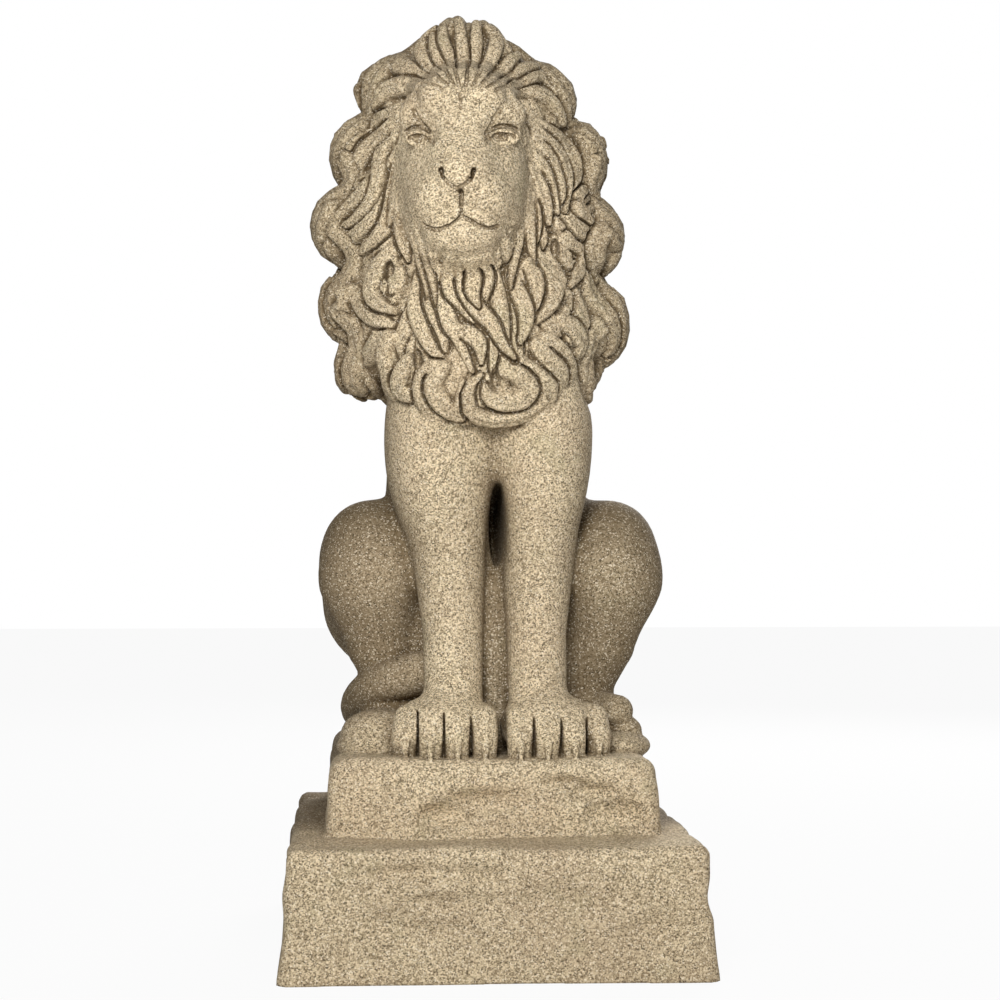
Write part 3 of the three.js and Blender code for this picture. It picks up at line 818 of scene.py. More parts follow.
    def rows(self, clay: Clay, fore: bool) -> None:
        """Carves the rows of locks that flow down and lie over each other.

        Args:
            clay: The clay to work on.
            fore: Whether these are the rows under the front locks, or those of the sides and back.
        """
        rng = np.random.default_rng(self.seed + fore)
        for row, level in enumerate(self.levels):
            spread = self.pitch / max(math.cos(math.radians(level)), 0.3)
            count = max(int(round(360 / spread)), 6)
            for n in range(count):
                bearing = (n + 0.5 * (row % 2) + rng.uniform(*self.shifts)) * 360 / count % 360
                drop = self.fall * rng.uniform(*self.falls)
                turn = rng.uniform(*self.sways) * (1 if bearing > 180 else -1)
                width, lift = rng.uniform(*self.widths), rng.uniform(*self.lifts)
                ahead = not self.bare < bearing < 360 - self.bare
                if ahead != fore:
                    continue
                t = np.linspace(0, 1, 11)
                sway = turn * np.sin(t * math.pi * 1.6)
                lowest = self.hem + self.hem_rise * (1 - math.cos(math.radians(bearing))) / 2
                points = self.round(bearing + sway, np.maximum(level + 8 - drop * t, lowest))
                self.lay(
                    clay, points, lift - self.fore_sunk * fore, width=width, rise=self.row_rise,
                    ridges=2, ridge_depth=1.6, tip_share=0.2, moat=1.0,
                )

    def model(self, clay: Clay) -> None:
        """Puts the mane's mass on the clay, sunk a little under the locks.

        Args:
            clay: The clay to work on.
        """

        def distance(x: Array, y: Array, z: Array) -> Array:
            """Distance from the sunk skin."""
            return self.form.distance(x, y, z) + self.sunk

        clay.add(Form(self.form.low, self.form.high, distance), 5)

    def front(self, clay: Clay) -> None:
        """Lays the locks that frame the face and hang over the chest, the upper ones last.

        Args:
            clay: The clay to work on.
        """
        w = self.strand_width
        layers = (
            (RIGHT_BIB, -0.5, w + 3), (LEFT_BIB, -0.5, w + 2), (BOTTOM, 2.0, w + 1),
            (BEARD, 1.0, w - 1.5), (LEFT_SIDE, -1.0, w + 0.5), (RIGHT_SIDE, -1.0, w - 0.5),
        )
        for group, lift, width in layers:
            for sheet in group:
                self.strand(
                    clay, sheet, lift, width=width, rise=self.row_rise, ridges=2, ridge_depth=1.5,
                    moat=1.1, moat_depth=2.8, tip_share=0.3,
                )
        for sheet in CHEEKS:
            self.strand(
                clay, sheet, -0.5, width=self.cheek_width, rise=3.8, tip_share=0.3,
                moat=1.0, moat_depth=2.2,
            )
        for lift, sheet, width, ridges in CREST:
            self.strand(
                clay, sheet, lift - self.crest_sunk, width=width, rise=5.0, ridges=ridges,
                tip_share=0.7, moat=0.9, moat_depth=2.4,
            )
        for pit in seen_on(self.gap, np.array(PITS)):
            clay.cut(ball(pit, self.pit_size), 3)


@dataclass
class Face:
    """The bare face, in the head's own frame: x across, f forward, z from the line of the eyes."""

    origin: Point = (-20, -40, 440)
    turn: float = math.radians(5)
    # The pupils and nostrils, as points on the sheet.
    pupils: Sequence[Point] = ((-56.8, 471.8), (9.9, 473.5))
    nostrils: Sequence[Point] = ((-37.5, 446.0), (-13.5, 446.0))
    bite: float = 0.9  # how deep the middle of an incised line lies
    # The skull's parts, each its middle and half sizes.
    skull_parts: Sequence[tuple[Point, Point]] = (
        ((0, 33, 6), (47, 50, 60)),
        ((0, 58, 30), (40, 26, 32)),
        ((0, 62, -40), (36, 28, 34)),
        ((0, 58, -66), (34, 24, 16)),
    )
    # The line of the nose's bridge on one side, with its radii.
    bridge: Sequence[Point] = ((7, 64, 36, 22), (9, 84, 6, 17.5), (6, 99, -14, 15))
    # What is put on each side: the cheek, the muzzle pad, the brow and its outer end, each with its
    # middle, half sizes and fillet.
    sides: Sequence[tuple[Point, Point, float]] = (
        ((25, 62, -20), (20, 28, 36), 16),
        ((16, 88, -32), (18.5, 20, 19), 14),
        ((17, 80, 43), (14, 10.5, 11), 6),
        ((35, 66, 33), (11, 9, 10), 9),
    )
    socket: Point = (29, 96, 16)
    socket_size: Point = (11, 14, 9)
    chin: Point = (0, 85, -58)
    chin_size: Point = (27, 19, 17)
    nose: Point = (0, 107, -20)
    nose_size: Point = (15, 9, 9)
    dip: Sequence[Point] = ((-3, 92, 62, 4), (-2, 95, 44, 3.5))
    eyeball: Point = (32, 77.5, 13)
    eyeball_size: Point = (9.5, 8.5, 7)
    # Half the width of the left and the right eye as seen, and how far its middle is from the pupil.
    eye_wide: Sequence[float] = (8.6, 10.8)
    eye_shift: Sequence[float] = (0.6, 0.8)
    iris: float = 2.9
    # The arcs round an eye, each its share of the eye's width, its rise and how far it is lowered.
    lid_over: Sequence[float] = (1.0, 5.0, 0.8)
    lid_under: Sequence[float] = (1.0, -4.6, 0.8)
    lid_fold: Sequence[float] = (1.25, 8.6, 0.0)
    lid_inside: Sequence[float] = (0.8, 3.2, 0.8)
    # The incised lines, as points on the sheet. The partings lead the crest's locks to the brow.
    middle: float = -22.3
    philtrum: Sequence[float] = (431.0, 421.0)
    lip_deeper: float = 0.7
    mouth_left: Sequence[Point] = ((-52.0, 404.6), (-43, 400.6), (-35, 402.2), (-28, 406.5))
    mouth_right: Sequence[Point] = ((-16, 407.8), (-9.3, 404.4), (-2, 402.0), (5, 403.6))
    mouth_height: float = 412.0
    furrow: Sequence[Point] = ((-24.3, 507), (-23.0, 500), (-22.6, 494))
    brow_left: Sequence[Point] = ((-59.3, 493.3), (-54.5, 484.5), (-46.5, 476.7))
    brow_right: Sequence[Point] = ((7.4, 494.3), (2.3, 486), (-3.5, 474.5))
    partings: Sequence[Sequence[Point]] = (
        ((-24, 513), (-26.5, 522), (-29, 532)),
        ((-19, 513), (-18, 522), (-17, 532)),
        ((-13.5, 513), (-9, 522), (-5, 531)),
        ((-28.5, 514), (-33, 522), (-38, 531)),
        ((-8, 513), (0, 522), (8, 530)),
        ((-33, 513.5), (-42, 521), (-50, 528)),
        ((-2, 512), (8, 518), (18, 524)),
        ((-37, 510.5), (-50, 516), (-62, 519)),
        ((4, 510), (15, 514), (28, 516.5)),
    )

    def at(self, x: float, f: float, z: float) -> Point:
        """A point of the head's frame in the lion's frame.

        Args:
            x: How far across.
            f: How far forward.
            z: How far up.

        Returns:
            The point in the lion's frame.
        """
        c, s = math.cos(self.turn), math.sin(self.turn)
        ox, oy, oz = self.origin
        return (ox + x * c - f * s, oy - f * c - x * s, oz + z)

    def skull(self) -> list[Form]:
        """The brow, the cheeks and the jaw, which carry the roots of the locks as well."""
        return [together([ball(self.at(*middle), size) for middle, size in self.skull_parts], 16)]

    def model(self, clay: Clay) -> None:
        """Puts the nose, muzzle, chin and brows on the clay, and sinks the sockets.

        Args:
            clay: The clay to work on.
        """
        for side in SIDES:
            clay.add(limb([(*self.at(side * x, f, z), r) for x, f, z, r in self.bridge]), 12)
            for (x, f, z), size, k in self.sides:
                clay.add(ball(self.at(side * x, f, z), size), k)
            x, f, z = self.socket
            clay.cut(ball(self.at(side * x, f, z), self.socket_size), 9)
        clay.add(ball(self.at(*self.chin), self.chin_size), 9)
        clay.add(ball(self.at(*self.nose), self.nose_size), 7)
        clay.cut(limb([(*self.at(x, f, z), r) for x, f, z, r in self.dip]), 4)
        self.eyes(clay)
        self.lines(clay)

    def on(self, clay: Clay, sheet: Sequence[Point]) -> Array:
        """Points of the sheet laid on the clay as it stands."""
        return seen_on(clay.nearby, np.array(sheet, float))

    def incise(
        self, clay: Clay, sheet: Sequence[Point], radius: float, steps: int = 8, deeper: float = 0
    ) -> None:
        """Cuts a thin line through points of the sheet."""
        line = self.on(clay, route(sheet, steps)) + np.array([0, self.bite + deeper, 0])
        clay.cut(limb(np.column_stack([line, np.full(len(line), radius)])), 0.6)

    def pierce(self, clay: Clay, sheet: Sequence[Point], radius: float, depth: float) -> None:
        """Sinks a hole straight back at each of some points of the sheet.

        Args:
            clay: The clay to work on.
            sheet: The points on the sheet.
            radius: The hole's radius at its mouth.
            depth: How far back it goes.
        """
        for mouth in self.on(clay, sheet):
            end = mouth + np.array([0, depth, 0])
            clay.cut(limb([(*mouth, radius), (*end, radius * 0.8)]), 0.4)

    def raise_line(self, clay: Clay, sheet: Sequence[Point], radius: float, k: float = 1.5) -> None:
        """Lays a thin roll through points of the sheet."""
        line = self.on(clay, route(sheet, 10))
        clay.add(limb(np.column_stack([line, np.full(len(line), radius)])), k)

    @staticmethod
    def arc(middle: Point, wide: float, lid: Sequence[float]) -> list[Point]:
        """An arc over or under an eye.

        Args:
            middle: The eye's middle on the sheet.
            wide: Half the eye's width.
            lid: The arc's share of that, its rise and how far it is lowered.

        Returns:
            Its points on the sheet, from end to end.
        """
        share, rise, drop = lid
        return [
            (middle[0] - share * wide * math.cos(a), middle[1] + rise * math.sin(a) - drop)
            for a in np.linspace(0, math.pi, 7)
        ]

    def eyes(self, clay: Clay) -> None:
        """Models each eye: the ball, two lids and a fold above, and the incised iris.

        Args:
            clay: The clay to work on.
        """
        x, f, z = self.eyeball
        for side, (u, v), wide, shift in zip(SIDES, self.pupils, self.eye_wide, self.eye_shift):
            middle = u + shift
            clay.add(ball(self.at(side * x, f, z), self.eyeball_size), 1.5)
            self.raise_line(clay, self.arc((middle, v), wide, self.lid_over), 1.7)
            self.raise_line(clay, self.arc((middle, v), wide, self.lid_under), 1.4)
            self.incise(clay, self.arc((middle, v), wide, self.lid_fold)[1:-1], 1.4)
            self.incise(clay, self.arc((middle, v), wide, self.lid_inside), 1.15)
            turns = np.linspace(0, 2 * math.pi, 9)
            ring = [(u + self.iris * math.cos(a), v + self.iris * math.sin(a)) for a in turns]
            self.incise(clay, ring, 1.15)
            self.incise(clay, [(u - 0.6, v), (u + 0.6, v)], 1.5, 2)
            inner = (middle - side * (wide + 0.5), v - 1.5)
            self.incise(clay, [inner, (middle - side * (wide + 4), v - 4)], 1.3, 3)

    def lines(self, clay: Clay) -> None:
        """Cuts the nostrils, the nose's V, the split of the lip and the mouth.

        Args:
            clay: The clay to work on.
        """
        middle, lip = self.middle, (self.middle, self.mouth_height)
        split = [(middle, height) for height in self.philtrum]
        self.incise(clay, [*split, lip], 1.5, deeper=self.lip_deeper)
        self.incise(clay, [*self.mouth_left, lip], 1.6, deeper=self.lip_deeper)
        self.incise(clay, [lip, *self.mouth_right], 1.6, deeper=self.lip_deeper)
        for side, (u, v) in zip(SIDES, self.nostrils):
            self.pierce(clay, [(u + side * 0.8, v + 1.6), (u, v - 0.6)], 1.9, 7)
            self.pierce(clay, [(u, v - 2.6)], 1.3, 5)
            wing = [(u, v - 3), (u - side * 4, v - 8), (u - side * 10, v - 12), (middle, v - 16)]
            self.incise(clay, wing, 1.5)
        self.incise(clay, self.furrow, 0.9)
        for parting in self.partings:
            self.incise(clay, parting, 1.35, 5)
        self.incise(clay, self.brow_left, 1.7)
        self.incise(clay, self.brow_right, 1.9)


@dataclass
class RockBlock:
    """A hewn block that leans in as it rises, with worn edges and uneven faces."""

    low: Point
    high: Point
    edge: float
    lean: float
    seed: int
    wave: float = 2.2
    lengths: Sequence[float] = (95, 78, 60, 52, 44, 37, 30, 26, 22, 19)

    def form(self) -> Form:
        """The block as a form.

        Returns:
            The form.
        """
        rng = np.random.default_rng(self.seed)
        longest = self.lengths[0]
        waves = []
        for length in self.lengths:
            way = rng.normal(size=3)
            way /= np.linalg.norm(way)
            waves.append((way * 2 * math.pi / length, rng.uniform(0, 2 * math.pi), length / longest))
        low, high = np.array(self.low, float), np.array(self.high, float)
        middle, half = (low + high) / 2, (high - low) / 2

        def distance(x: Array, y: Array, z: Array) -> Array:
            """Distance from the block's uneven skin.

            Args:
                x: The points' places across.
                y: Their places back.
                z: Their heights.

            Returns:
                The distances, negative inside.
            """
            risen = np.clip((z - low[2]) / (high[2] - low[2]), 0, 1)
            inset = self.lean * risen
            parts = [
                np.abs(x - middle[0]) - (half[0] - inset - self.edge),
                np.abs(y - middle[1]) - (half[1] - inset - self.edge),
                (z - middle[2]) - (half[2] - self.edge),
            ]
            out = np.sqrt(sum(np.maximum(p, 0) ** 2 for p in parts))
            inside = np.minimum(np.maximum(np.maximum(parts[0], parts[1]), parts[2]), 0)
            uneven = 0.0
            for way, phase, size in waves:
                uneven = uneven + size * np.sin(x * way[0] + y * way[1] + z * way[2] + phase)
            worn = self.wave * (0.5 + 0.32 * uneven) * np.minimum(risen * 5, 1)
            return out + inside - self.edge + worn

        return Form(low, high, distance)


@dataclass
class Plinth:
    """The rock plinth: a step that carries the lion, on a wider foot, with hewn hollows."""

    foot_size: Point = (312, 400, 95)
    step_low: Point = (-127, -133, -58)
    step_high: Point = (119, 167, 0.6)
    hollows: Sequence[tuple[Point, Point]] = (
        ((-40, -132, -41), (19, 10, 9)),
        ((-10, -132, -31), (30, 9, 8)),
        ((46, -131, -18), (17, 9, 4.5)),
        ((68, -131, -25), (18, 9, 5.5)),
        ((84, -131, -41), (22, 8, 10)),
        ((-69, -196, -73), (32, 9, 5.5)),
        ((-19, -196, -75), (24, 9, 5.5)),
        ((-80, -199, -109), (26, 9, 10)),
        ((-37, -198, -95), (36, 9, 7.5)),
        ((-50, -200, -114), (26, 9, 7)),
        ((40, -198, -94), (56, 9, 9)),
        ((104, -199, -113), (24, 9, 11)),
        ((151, -150, -92), (10, 60, 15)),
        ((-160, -120, -76), (9, 60, 12)),
    )
    below: float = 20.0  # how far the foot reaches under the ground before it is cut flat

    def model(self, clay: Clay) -> None:
        """Puts the plinth under the lion.

        Args:
            clay: The clay to work on.
        """
        w, d, h = self.foot_size
        low = (-w / 2 - LION_X, -d / 2, -LION_Z - self.below)
        high = (w / 2 - LION_X, d / 2, h - LION_Z)
        foot = RockBlock(low, high, edge=9, lean=7, seed=3)
        step = RockBlock(self.step_low, self.step_high, edge=12, lean=4, seed=5, wave=1.6)
        plinth = Clay(clay.rows)
        plinth.add(foot.form(), 0.5)
        plinth.add(step.form(), 2.0)
        for centre, radii in self.hollows:
            plinth.cut(ball(centre, radii), 7)
        clay.field[:] = blended(clay.field, plinth.field, 1.5)


class Shade(Enum):
    """The colours of the resin, BROWN also serving as painted shade."""

    LOW = (0.235, 0.178, 0.105)
    HIGH = (0.810, 0.668, 0.448)
    PALE = (0.90, 0.80, 0.62)
    # BROWN paints shade on the parts set back, on the flanks and near the ground, and paints shade with
    # the resin's brown wash in the hollows.
    BROWN = (0.125, 0.085, 0.042)
    DARK = (0.040, 0.027, 0.015)
    ROSE = (0.42, 0.30, 0.195)
    MOSS = (0.34, 0.32, 0.18)


class Value:
    """A number in a shader, for writing its sums as plain expressions."""

    def __init__(self, paint: "Paint", socket: bpy.types.NodeSocket) -> None:
        """Holds the socket that gives the number."""
        self.paint = paint
        self.socket = socket

    def _sum(self, operation: str, first: object, second: object) -> "Value":
        """Adds a Math node."""
        node = self.paint.node("ShaderNodeMath", {"operation": operation}, {0: first, 1: second})
        return Value(self.paint, node.outputs[0])

    def __add__(self, other: object) -> "Value":
        """This and another."""
        return self._sum("ADD", self, other)

    __radd__ = __add__

    def __mul__(self, other: object) -> "Value":
        """This times another."""
        return self._sum("MULTIPLY", self, other)

    __rmul__ = __mul__

    def __sub__(self, other: object) -> "Value":
        """This less another."""
        return self._sum("SUBTRACT", self, other)

    def __rsub__(self, other: object) -> "Value":
        """Another less this."""
        return self._sum("SUBTRACT", other, self)

    def clear_of(self, low: float, high: float) -> "Value":
        """0 under low and 1 over high, with a slope between.

        Args:
            low: Where the slope starts.
            high: Where it ends.

        Returns:
            The new number.
        """
        node = self.paint.node(
            "ShaderNodeMapRange", {"clamp": True}, {0: self, 1: low, 2: high, 3: 0.0, 4: 1.0}
        )
        return Value(self.paint, node.outputs[0])


class Paint:
    """A material under work."""

    def __init__(self, name: str) -> None:
        """Starts a material with a bare surface shader.

        Args:
            name: The material's name.
        """
        self.material = bpy.data.materials.new(name)
        self.material.use_nodes = True
        self.tree = self.material.node_tree
        self.surface = next(n for n in self.tree.nodes if n.type == "BSDF_PRINCIPLED")

    def node(self, kind: str, settings: dict, inputs: dict) -> bpy.types.Node:
        """Adds a node.

        Args:
            kind: The node's type.
            settings: What is set on the node itself.
            inputs: The values or links of its sockets, by name or number.

        Returns:
            The node.
        """
        node = self.tree.nodes.new(kind)
        for name, value in settings.items():
            setattr(node, name, value)
        for name, value in inputs.items():
            self.feed(node.inputs[name], value)
        return node

    def feed(self, socket: bpy.types.NodeSocket, value: object) -> None:
        """Gives a socket a value or a link.

        Args:
            socket: The socket.
            value: A number, colour, shade, value or other socket.
        """
        if isinstance(value, Value):
            self.tree.links.new(value.socket, socket)
        elif isinstance(value, bpy.types.NodeSocket):
            self.tree.links.new(value, socket)
        elif isinstance(value, Shade):
            socket.default_value = (*value.value, 1.0)
        else:
            socket.default_value = value

    def mixed(self, share: object, first: object, second: object) -> bpy.types.NodeSocket:
        """A colour between two."""
        node = self.node("ShaderNodeMix", {"data_type": "RGBA"}, {0: share, 6: first, 7: second})
        return node.outputs[2]


@dataclass(frozen=True)
class SandstoneResin:
    """Moulded resin filled with sand: a speckled tan, with shade painted on where it falls and a
    brown wash with painted shade in the hollows.

    The grains are counted in cells a metre. The painted shade runs in between two depths, y, or two
    heights, z, in metres of the statue's frame; in the hollows it runs, with the brown wash, between
    two measures of hollowness.
    """

    grain: float = 900.0
    speck_grain: float = 1180.0
    fine_grain: float = 1500.0
    coarse_share: float = 0.62
    tone: Sequence[float] = (0.22, 0.78)
    patch_scale: float = 14.0
    patch: Sequence[float] = (0.42, 0.62)
    stain_scale: float = 30.0
    stain: Sequence[float] = (0.60, 0.74)
    tint_share: float = 0.22
    # Painted shade: the parts set back from the front turn brown, standing in for the light falling off.
    shaded: Sequence[float] = (-0.080, -0.020)
    shaded_share: float = 0.72
    # Painted shade: the parts near the ground turn brown, standing in for the light falling off towards
    # the foot.
    grounded_shade: Sequence[float] = (0.075, 0.110)
    grounded_shade_share: float = 0.20
    # Painted shade on the flanks: brown behind the front and below the haunches' top, where the light
    # falls off.
    flank_shade_back: Sequence[float] = (-0.085, -0.045)
    flank_shade_top: Sequence[float] = (0.330, 0.410)
    flank_shade_share: float = 0.44
    # Painted shade with a brown wash: the more shut in a hollow, the browner it turns.
    hollow_shade_and_wash: Sequence[float] = (0.20, 0.90)
    hollow_shade_and_wash_share: float = 0.93
    pale: Sequence[float] = (0.90, 0.93)
    pale_share: float = 0.55
    dark: Sequence[float] = (0.10, 0.12)
    dark_share: float = 0.75
    round_off: Sequence[float] = (0.35, 0.60)
    bump: float = 0.14
    bump_depth: float = 0.0005
    roughness: float = 0.93
    gloss: float = 0.2
    name: str = "sandstone_resin"

    def material(self) -> bpy.types.Material:
        """Makes the material.

        Returns:
            The material.
        """
        paint = Paint(self.name)
        place = paint.node("ShaderNodeTexCoord", {}, {}).outputs["Object"]

        def cells(scale: float) -> tuple[Value, Value]:
            """Random numbers of grains, and how far in each grain a point lies.

            Args:
                scale: How many grains lie in a metre.

            Returns:
                The two numbers.
            """
            node = paint.node("ShaderNodeTexVoronoi", {}, {"Vector": place, "Scale": scale})
            split = paint.node("ShaderNodeSeparateColor", {}, {0: node.outputs["Color"]})
            return Value(paint, split.outputs[0]), Value(paint, node.outputs["Distance"])

        def cloud(scale: float, detail: float) -> Value:
            """Soft noise.

            Args:
                scale: How fine the noise is.
                detail: How many finer layers it has.

            Returns:
                The noise.
            """
            node = paint.node(
                "ShaderNodeTexNoise", {}, {"Vector": place, "Scale": scale, "Detail": detail}
            )
            return Value(paint, node.outputs[0])

        coarse, inner = cells(self.grain)
        fine, _ = cells(self.fine_grain)
        odd, _ = cells(self.speck_grain)
        patches = cloud(self.patch_scale, 3.0)
        stains = cloud(self.stain_scale, 2.0)
        mark = paint.node("ShaderNodeAttribute", {"attribute_name": HOLLOW}, {})
        hollow = Value(paint, mark.outputs["Fac"])
        split = paint.node("ShaderNodeSeparateXYZ", {}, {0: place})
        depth, height = Value(paint, split.outputs[1]), Value(paint, split.outputs[2])
        tone = coarse * self.coarse_share + fine * (1 - self.coarse_share)
        # The flanks' painted shade, behind the front and below the haunches' top.
        flank_shade = depth.clear_of(*self.flank_shade_back) * (1 - height.clear_of(*self.flank_shade_top))
        ground = paint.mixed(tone.clear_of(*self.tone), Shade.LOW, Shade.HIGH)
        for share, shade in (
            (patches.clear_of(*self.patch) * self.tint_share, Shade.ROSE),
            (stains.clear_of(*self.stain) * self.tint_share, Shade.MOSS),
            # painted shade on the parts set back
            (depth.clear_of(*self.shaded) * self.shaded_share, Shade.BROWN),
            # painted shade near the ground
            ((1 - height.clear_of(*self.grounded_shade)) * self.grounded_shade_share, Shade.BROWN),
            # painted shade on the flanks
            (flank_shade * self.flank_shade_share, Shade.BROWN),
            # painted shade with a brown wash in the hollows
            (hollow.clear_of(*self.hollow_shade_and_wash) * self.hollow_shade_and_wash_share, Shade.BROWN),
            (odd.clear_of(*self.pale) * self.pale_share, Shade.PALE),
            ((1 - odd.clear_of(*self.dark)) * self.dark_share, Shade.DARK),
        ):
            ground = paint.mixed(share, ground, shade)
        paint.feed(paint.surface.inputs["Base Color"], ground)
        paint.surface.inputs["Roughness"].default_value = self.roughness
        paint.surface.inputs["Specular IOR Level"].default_value = self.gloss
        round_grain = 1 - inner.clear_of(*self.round_off)
        raised = fine * 0.5 + round_grain * coarse * 0.6
        bump = paint.node(
            "ShaderNodeBump", {},
            {"Strength": self.bump, "Distance": self.bump_depth, "Height": raised},
        )
        paint.feed(paint.surface.inputs["Normal"], bump.outputs[0])
        return paint.material


def shell(points: Array, faces: Array) -> tuple[Array, Array]:
    """The largest closed skin of a mesh, without specks and sealed hollows.

    Args:
        points: The corners.
        faces: The faces, as rows of corner numbers.

    Returns:
        The kept corners and faces.
    """
    label = np.arange(len(points))
    pairs = np.vstack([faces[:, [0, 1]], faces[:, [1, 2]], faces[:, [2, 3]], faces[:, [3, 0]]])
    while True:
        a, b = label[pairs[:, 0]], label[pairs[:, 1]]
        apart = a != b
        if not apart.any():
            break
        label[np.maximum(a[apart], b[apart])] = np.minimum(a[apart], b[apart])
        for _ in range(6):
            label = label[label]
    names, counts = np.unique(label, return_counts=True)
    kept = label == names[counts.argmax()]
    number = np.cumsum(kept) - 1
    return points[kept], number[faces[kept[faces[:, 0]]]]


def over_face(x: Array, y: Array, z: Array) -> Array:
    """Whether points lie on the bare face."""
    low, high = FACE_HEIGHTS
    return (y < FACE_DEPTH) & (z > low) & (z < high) & (np.abs(x - FACE_MIDDLE) < FACE_HALF)


def on_plinth(x: Array, y: Array, z: Array) -> Array:
    """Whether points lie on the plinth."""
    return z <= 0


def on_body(x: Array, y: Array, z: Array) -> Array:
    """Whether points lie between the plinth and the mane."""
    return (z > 0) & (z <= MANE_FROM)


def on_back_mane(x: Array, y: Array, z: Array) -> Array:
    """Whether points lie on the back half of the mane."""
    return (z > MANE_FROM) & (y >= 0)


def on_front_mane(x: Array, y: Array, z: Array) -> Array:
    """Whether points lie on the front half of the mane, off the face."""
    return (z > MANE_FROM) & (y < 0) & ~over_face(x, y, z)


@dataclass
class LionStatue:
    """The statue: the lion and its plinth, cast as one."""

    # The grid's bands along x, y and z: where each starts and its spacing, and where the last ends.
    bands: Sequence[Sequence[tuple[float, float]]] = (
        ((-170, 2.2), (-140, 1.25), (-78, 0.95), (38, 1.25), (105, 2.2), (162, 0)),
        ((-212, 2.2), (-172, 0.95), (-92, 1.25), (0, 2.2), (212, 0)),
        ((-158, 2.2), (-6, 1.25), (45, 2.2), (230, 1.25), (372, 0.95), (505, 1.25), (580, 0)),
    )
    corners: int = 97000
    # Each region of the mesh, with its share of the corners.
    regions: Sequence[tuple[Region, float]] = (
        (on_plinth, 0.08),
        (on_body, 0.12),
        (on_back_mane, 0.15),
        (on_front_mane, 0.44),
        (over_face, 0.21),
    )
    quick_spacing: float = 1.8
    skin_band: float = 3.0
    most_hollow: float = 1.5
    flat_under: float = 0.0012  # what lies lower than this, in metres, is set on the ground
    trunk: Trunk = field(default_factory=Trunk)
    forelegs: Forelegs = field(default_factory=Forelegs)
    haunches: Haunches = field(default_factory=Haunches)
    tail: Tail = field(default_factory=Tail)
    mane: Mane = field(default_factory=lambda: Mane(under=[limb(Trunk().back), *Face().skull()]))
    face: Face = field(default_factory=Face)
    plinth: Plinth = field(default_factory=Plinth)
    resin: SandstoneResin = field(default_factory=SandstoneResin)

    def spaced(self, bands: Sequence[tuple[float, float]]) -> Array:
        """The grid's rows along one axis, from the start and the spacing of each band.

        Args:
            bands: The bands.

        Returns:
            The places of the rows.
        """
        quick = 1.0
        return np.concatenate([
            np.arange(low, high, step * quick) for (low, step), (high, _) in zip(bands, bands[1:])
        ])

    def modelled(self) -> Clay:
        """The whole statue in clay.

        Returns:
            The clay.
        """
        rows = [self.spaced(bands) for bands in self.bands]
        clay = Clay(rows)
        log.info("grid %s", clay.field.shape)
        self.mane.model(clay)
        for form in self.face.skull():
            clay.add(form, 9)
        self.mane.rows(clay, fore=True)
        self.mane.front(clay)
        body = Clay(rows)
        self.trunk.model(body)
        self.haunches.model(body)
        self.forelegs.model(body)
        self.tail.model(body)
        clay.field[:] = blended(clay.field, body.field, 1.5)
        self.mane.rows(clay, fore=False)
        self.face.model(clay)
        self.plinth.model(clay)
        below = clay.rows[2] < -LION_Z
        clay.field[:, :, below] = np.maximum(clay.field[:, :, below], 0.0)
        floor_gap = (-LION_Z - clay.rows[2])[None, None, :]
        clay.field[:] = np.maximum(clay.field, floor_gap)
        return clay

    def skin(self, clay: Clay) -> tuple[Array, Array]:
        """The clay's skin, as corners in millimetres of the lion's frame and four-sided faces.

        Args:
            clay: The modelled clay.

        Returns:
            The corners and the faces.
        """
        grid = openvdb.FloatGrid(self.skin_band)
        grid.copyFromArray(np.clip(clay.field, -self.skin_band, self.skin_band))
        points, _, quads = grid.convertToPolygons(0.0, 0.0)
        points, quads = shell(points, quads.astype(np.int64))
        placed = [np.interp(points[:, n], np.arange(len(r)), r) for n, r in enumerate(clay.rows)]
        return np.column_stack(placed), quads

    def built(self) -> bpy.types.Object:
        """The statue as one piece.

        Returns:
            The piece.
        """
        clay = self.modelled()
        log.info("clay modelled")
        points, quads = self.skin(clay)
        log.info("skin of %d faces", len(quads))
        piece = meshed("lion_on_plinth", points, quads)
        for region, share in self.regions:
            thin_out(piece, region, int(share * self.corners))
        corners, normals = read(piece, "co"), read(piece, "normal")
        deep = clay.shut_in(corners.astype(float), normals.astype(float))
        log.info("hollow: %s", np.percentile(deep, (5, 25, 50, 75, 95)).round(2))
        # The hollowness is kept on the mesh for the resin's painted shade and brown wash in the hollows.
        mark = piece.data.attributes.new(HOLLOW, "FLOAT", "POINT")
        mark.data.foreach_set("value", np.clip(deep, 0, self.most_hollow).astype(np.float32))
        placed = (corners + np.array([LION_X, 0, LION_Z], np.float32)) * MM
        placed[placed[:, 2] < self.flat_under, 2] = 0.0
        piece.data.vertices.foreach_set("co", placed.ravel())
        piece.data.update()
        piece.data.materials.append(self.resin.material())
        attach(piece, "root")
        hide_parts("lion_statue")
        return piece


def meshed(name: str, points: Array, quads: Array) -> bpy.types.Object:
    """A smooth-shaded object from corners and four-sided faces.

    Args:
        name: The object's name.
        points: The corners.
        quads: The faces, as rows of corner numbers.

    Returns:
        The object.
    """
    mesh = bpy.data.meshes.new(name)
    mesh.vertices.add(len(points))
    mesh.vertices.foreach_set("co", points.astype(np.float32).ravel())
    mesh.loops.add(quads.size)
    mesh.loops.foreach_set("vertex_index", quads.astype(np.int32).ravel())
    mesh.polygons.add(len(quads))
    mesh.polygons.foreach_set("loop_start", np.arange(0, quads.size, 4, dtype=np.int32))
    mesh.update(calc_edges=True)
    piece = bpy.data.objects.new(name, mesh)
    bpy.context.scene.collection.objects.link(piece)
    return piece


def read(piece: bpy.types.Object, name: str) -> Array:
    """A vector of every corner of a mesh, one a row.

    Args:
        piece: The object.
        name: The vector's name, such as co or normal.

    Returns:
        The vectors.
    """
    values = np.empty(len(piece.data.vertices) * 3, np.float32)
    piece.data.vertices.foreach_get(name, values)
    return values.reshape(-1, 3)


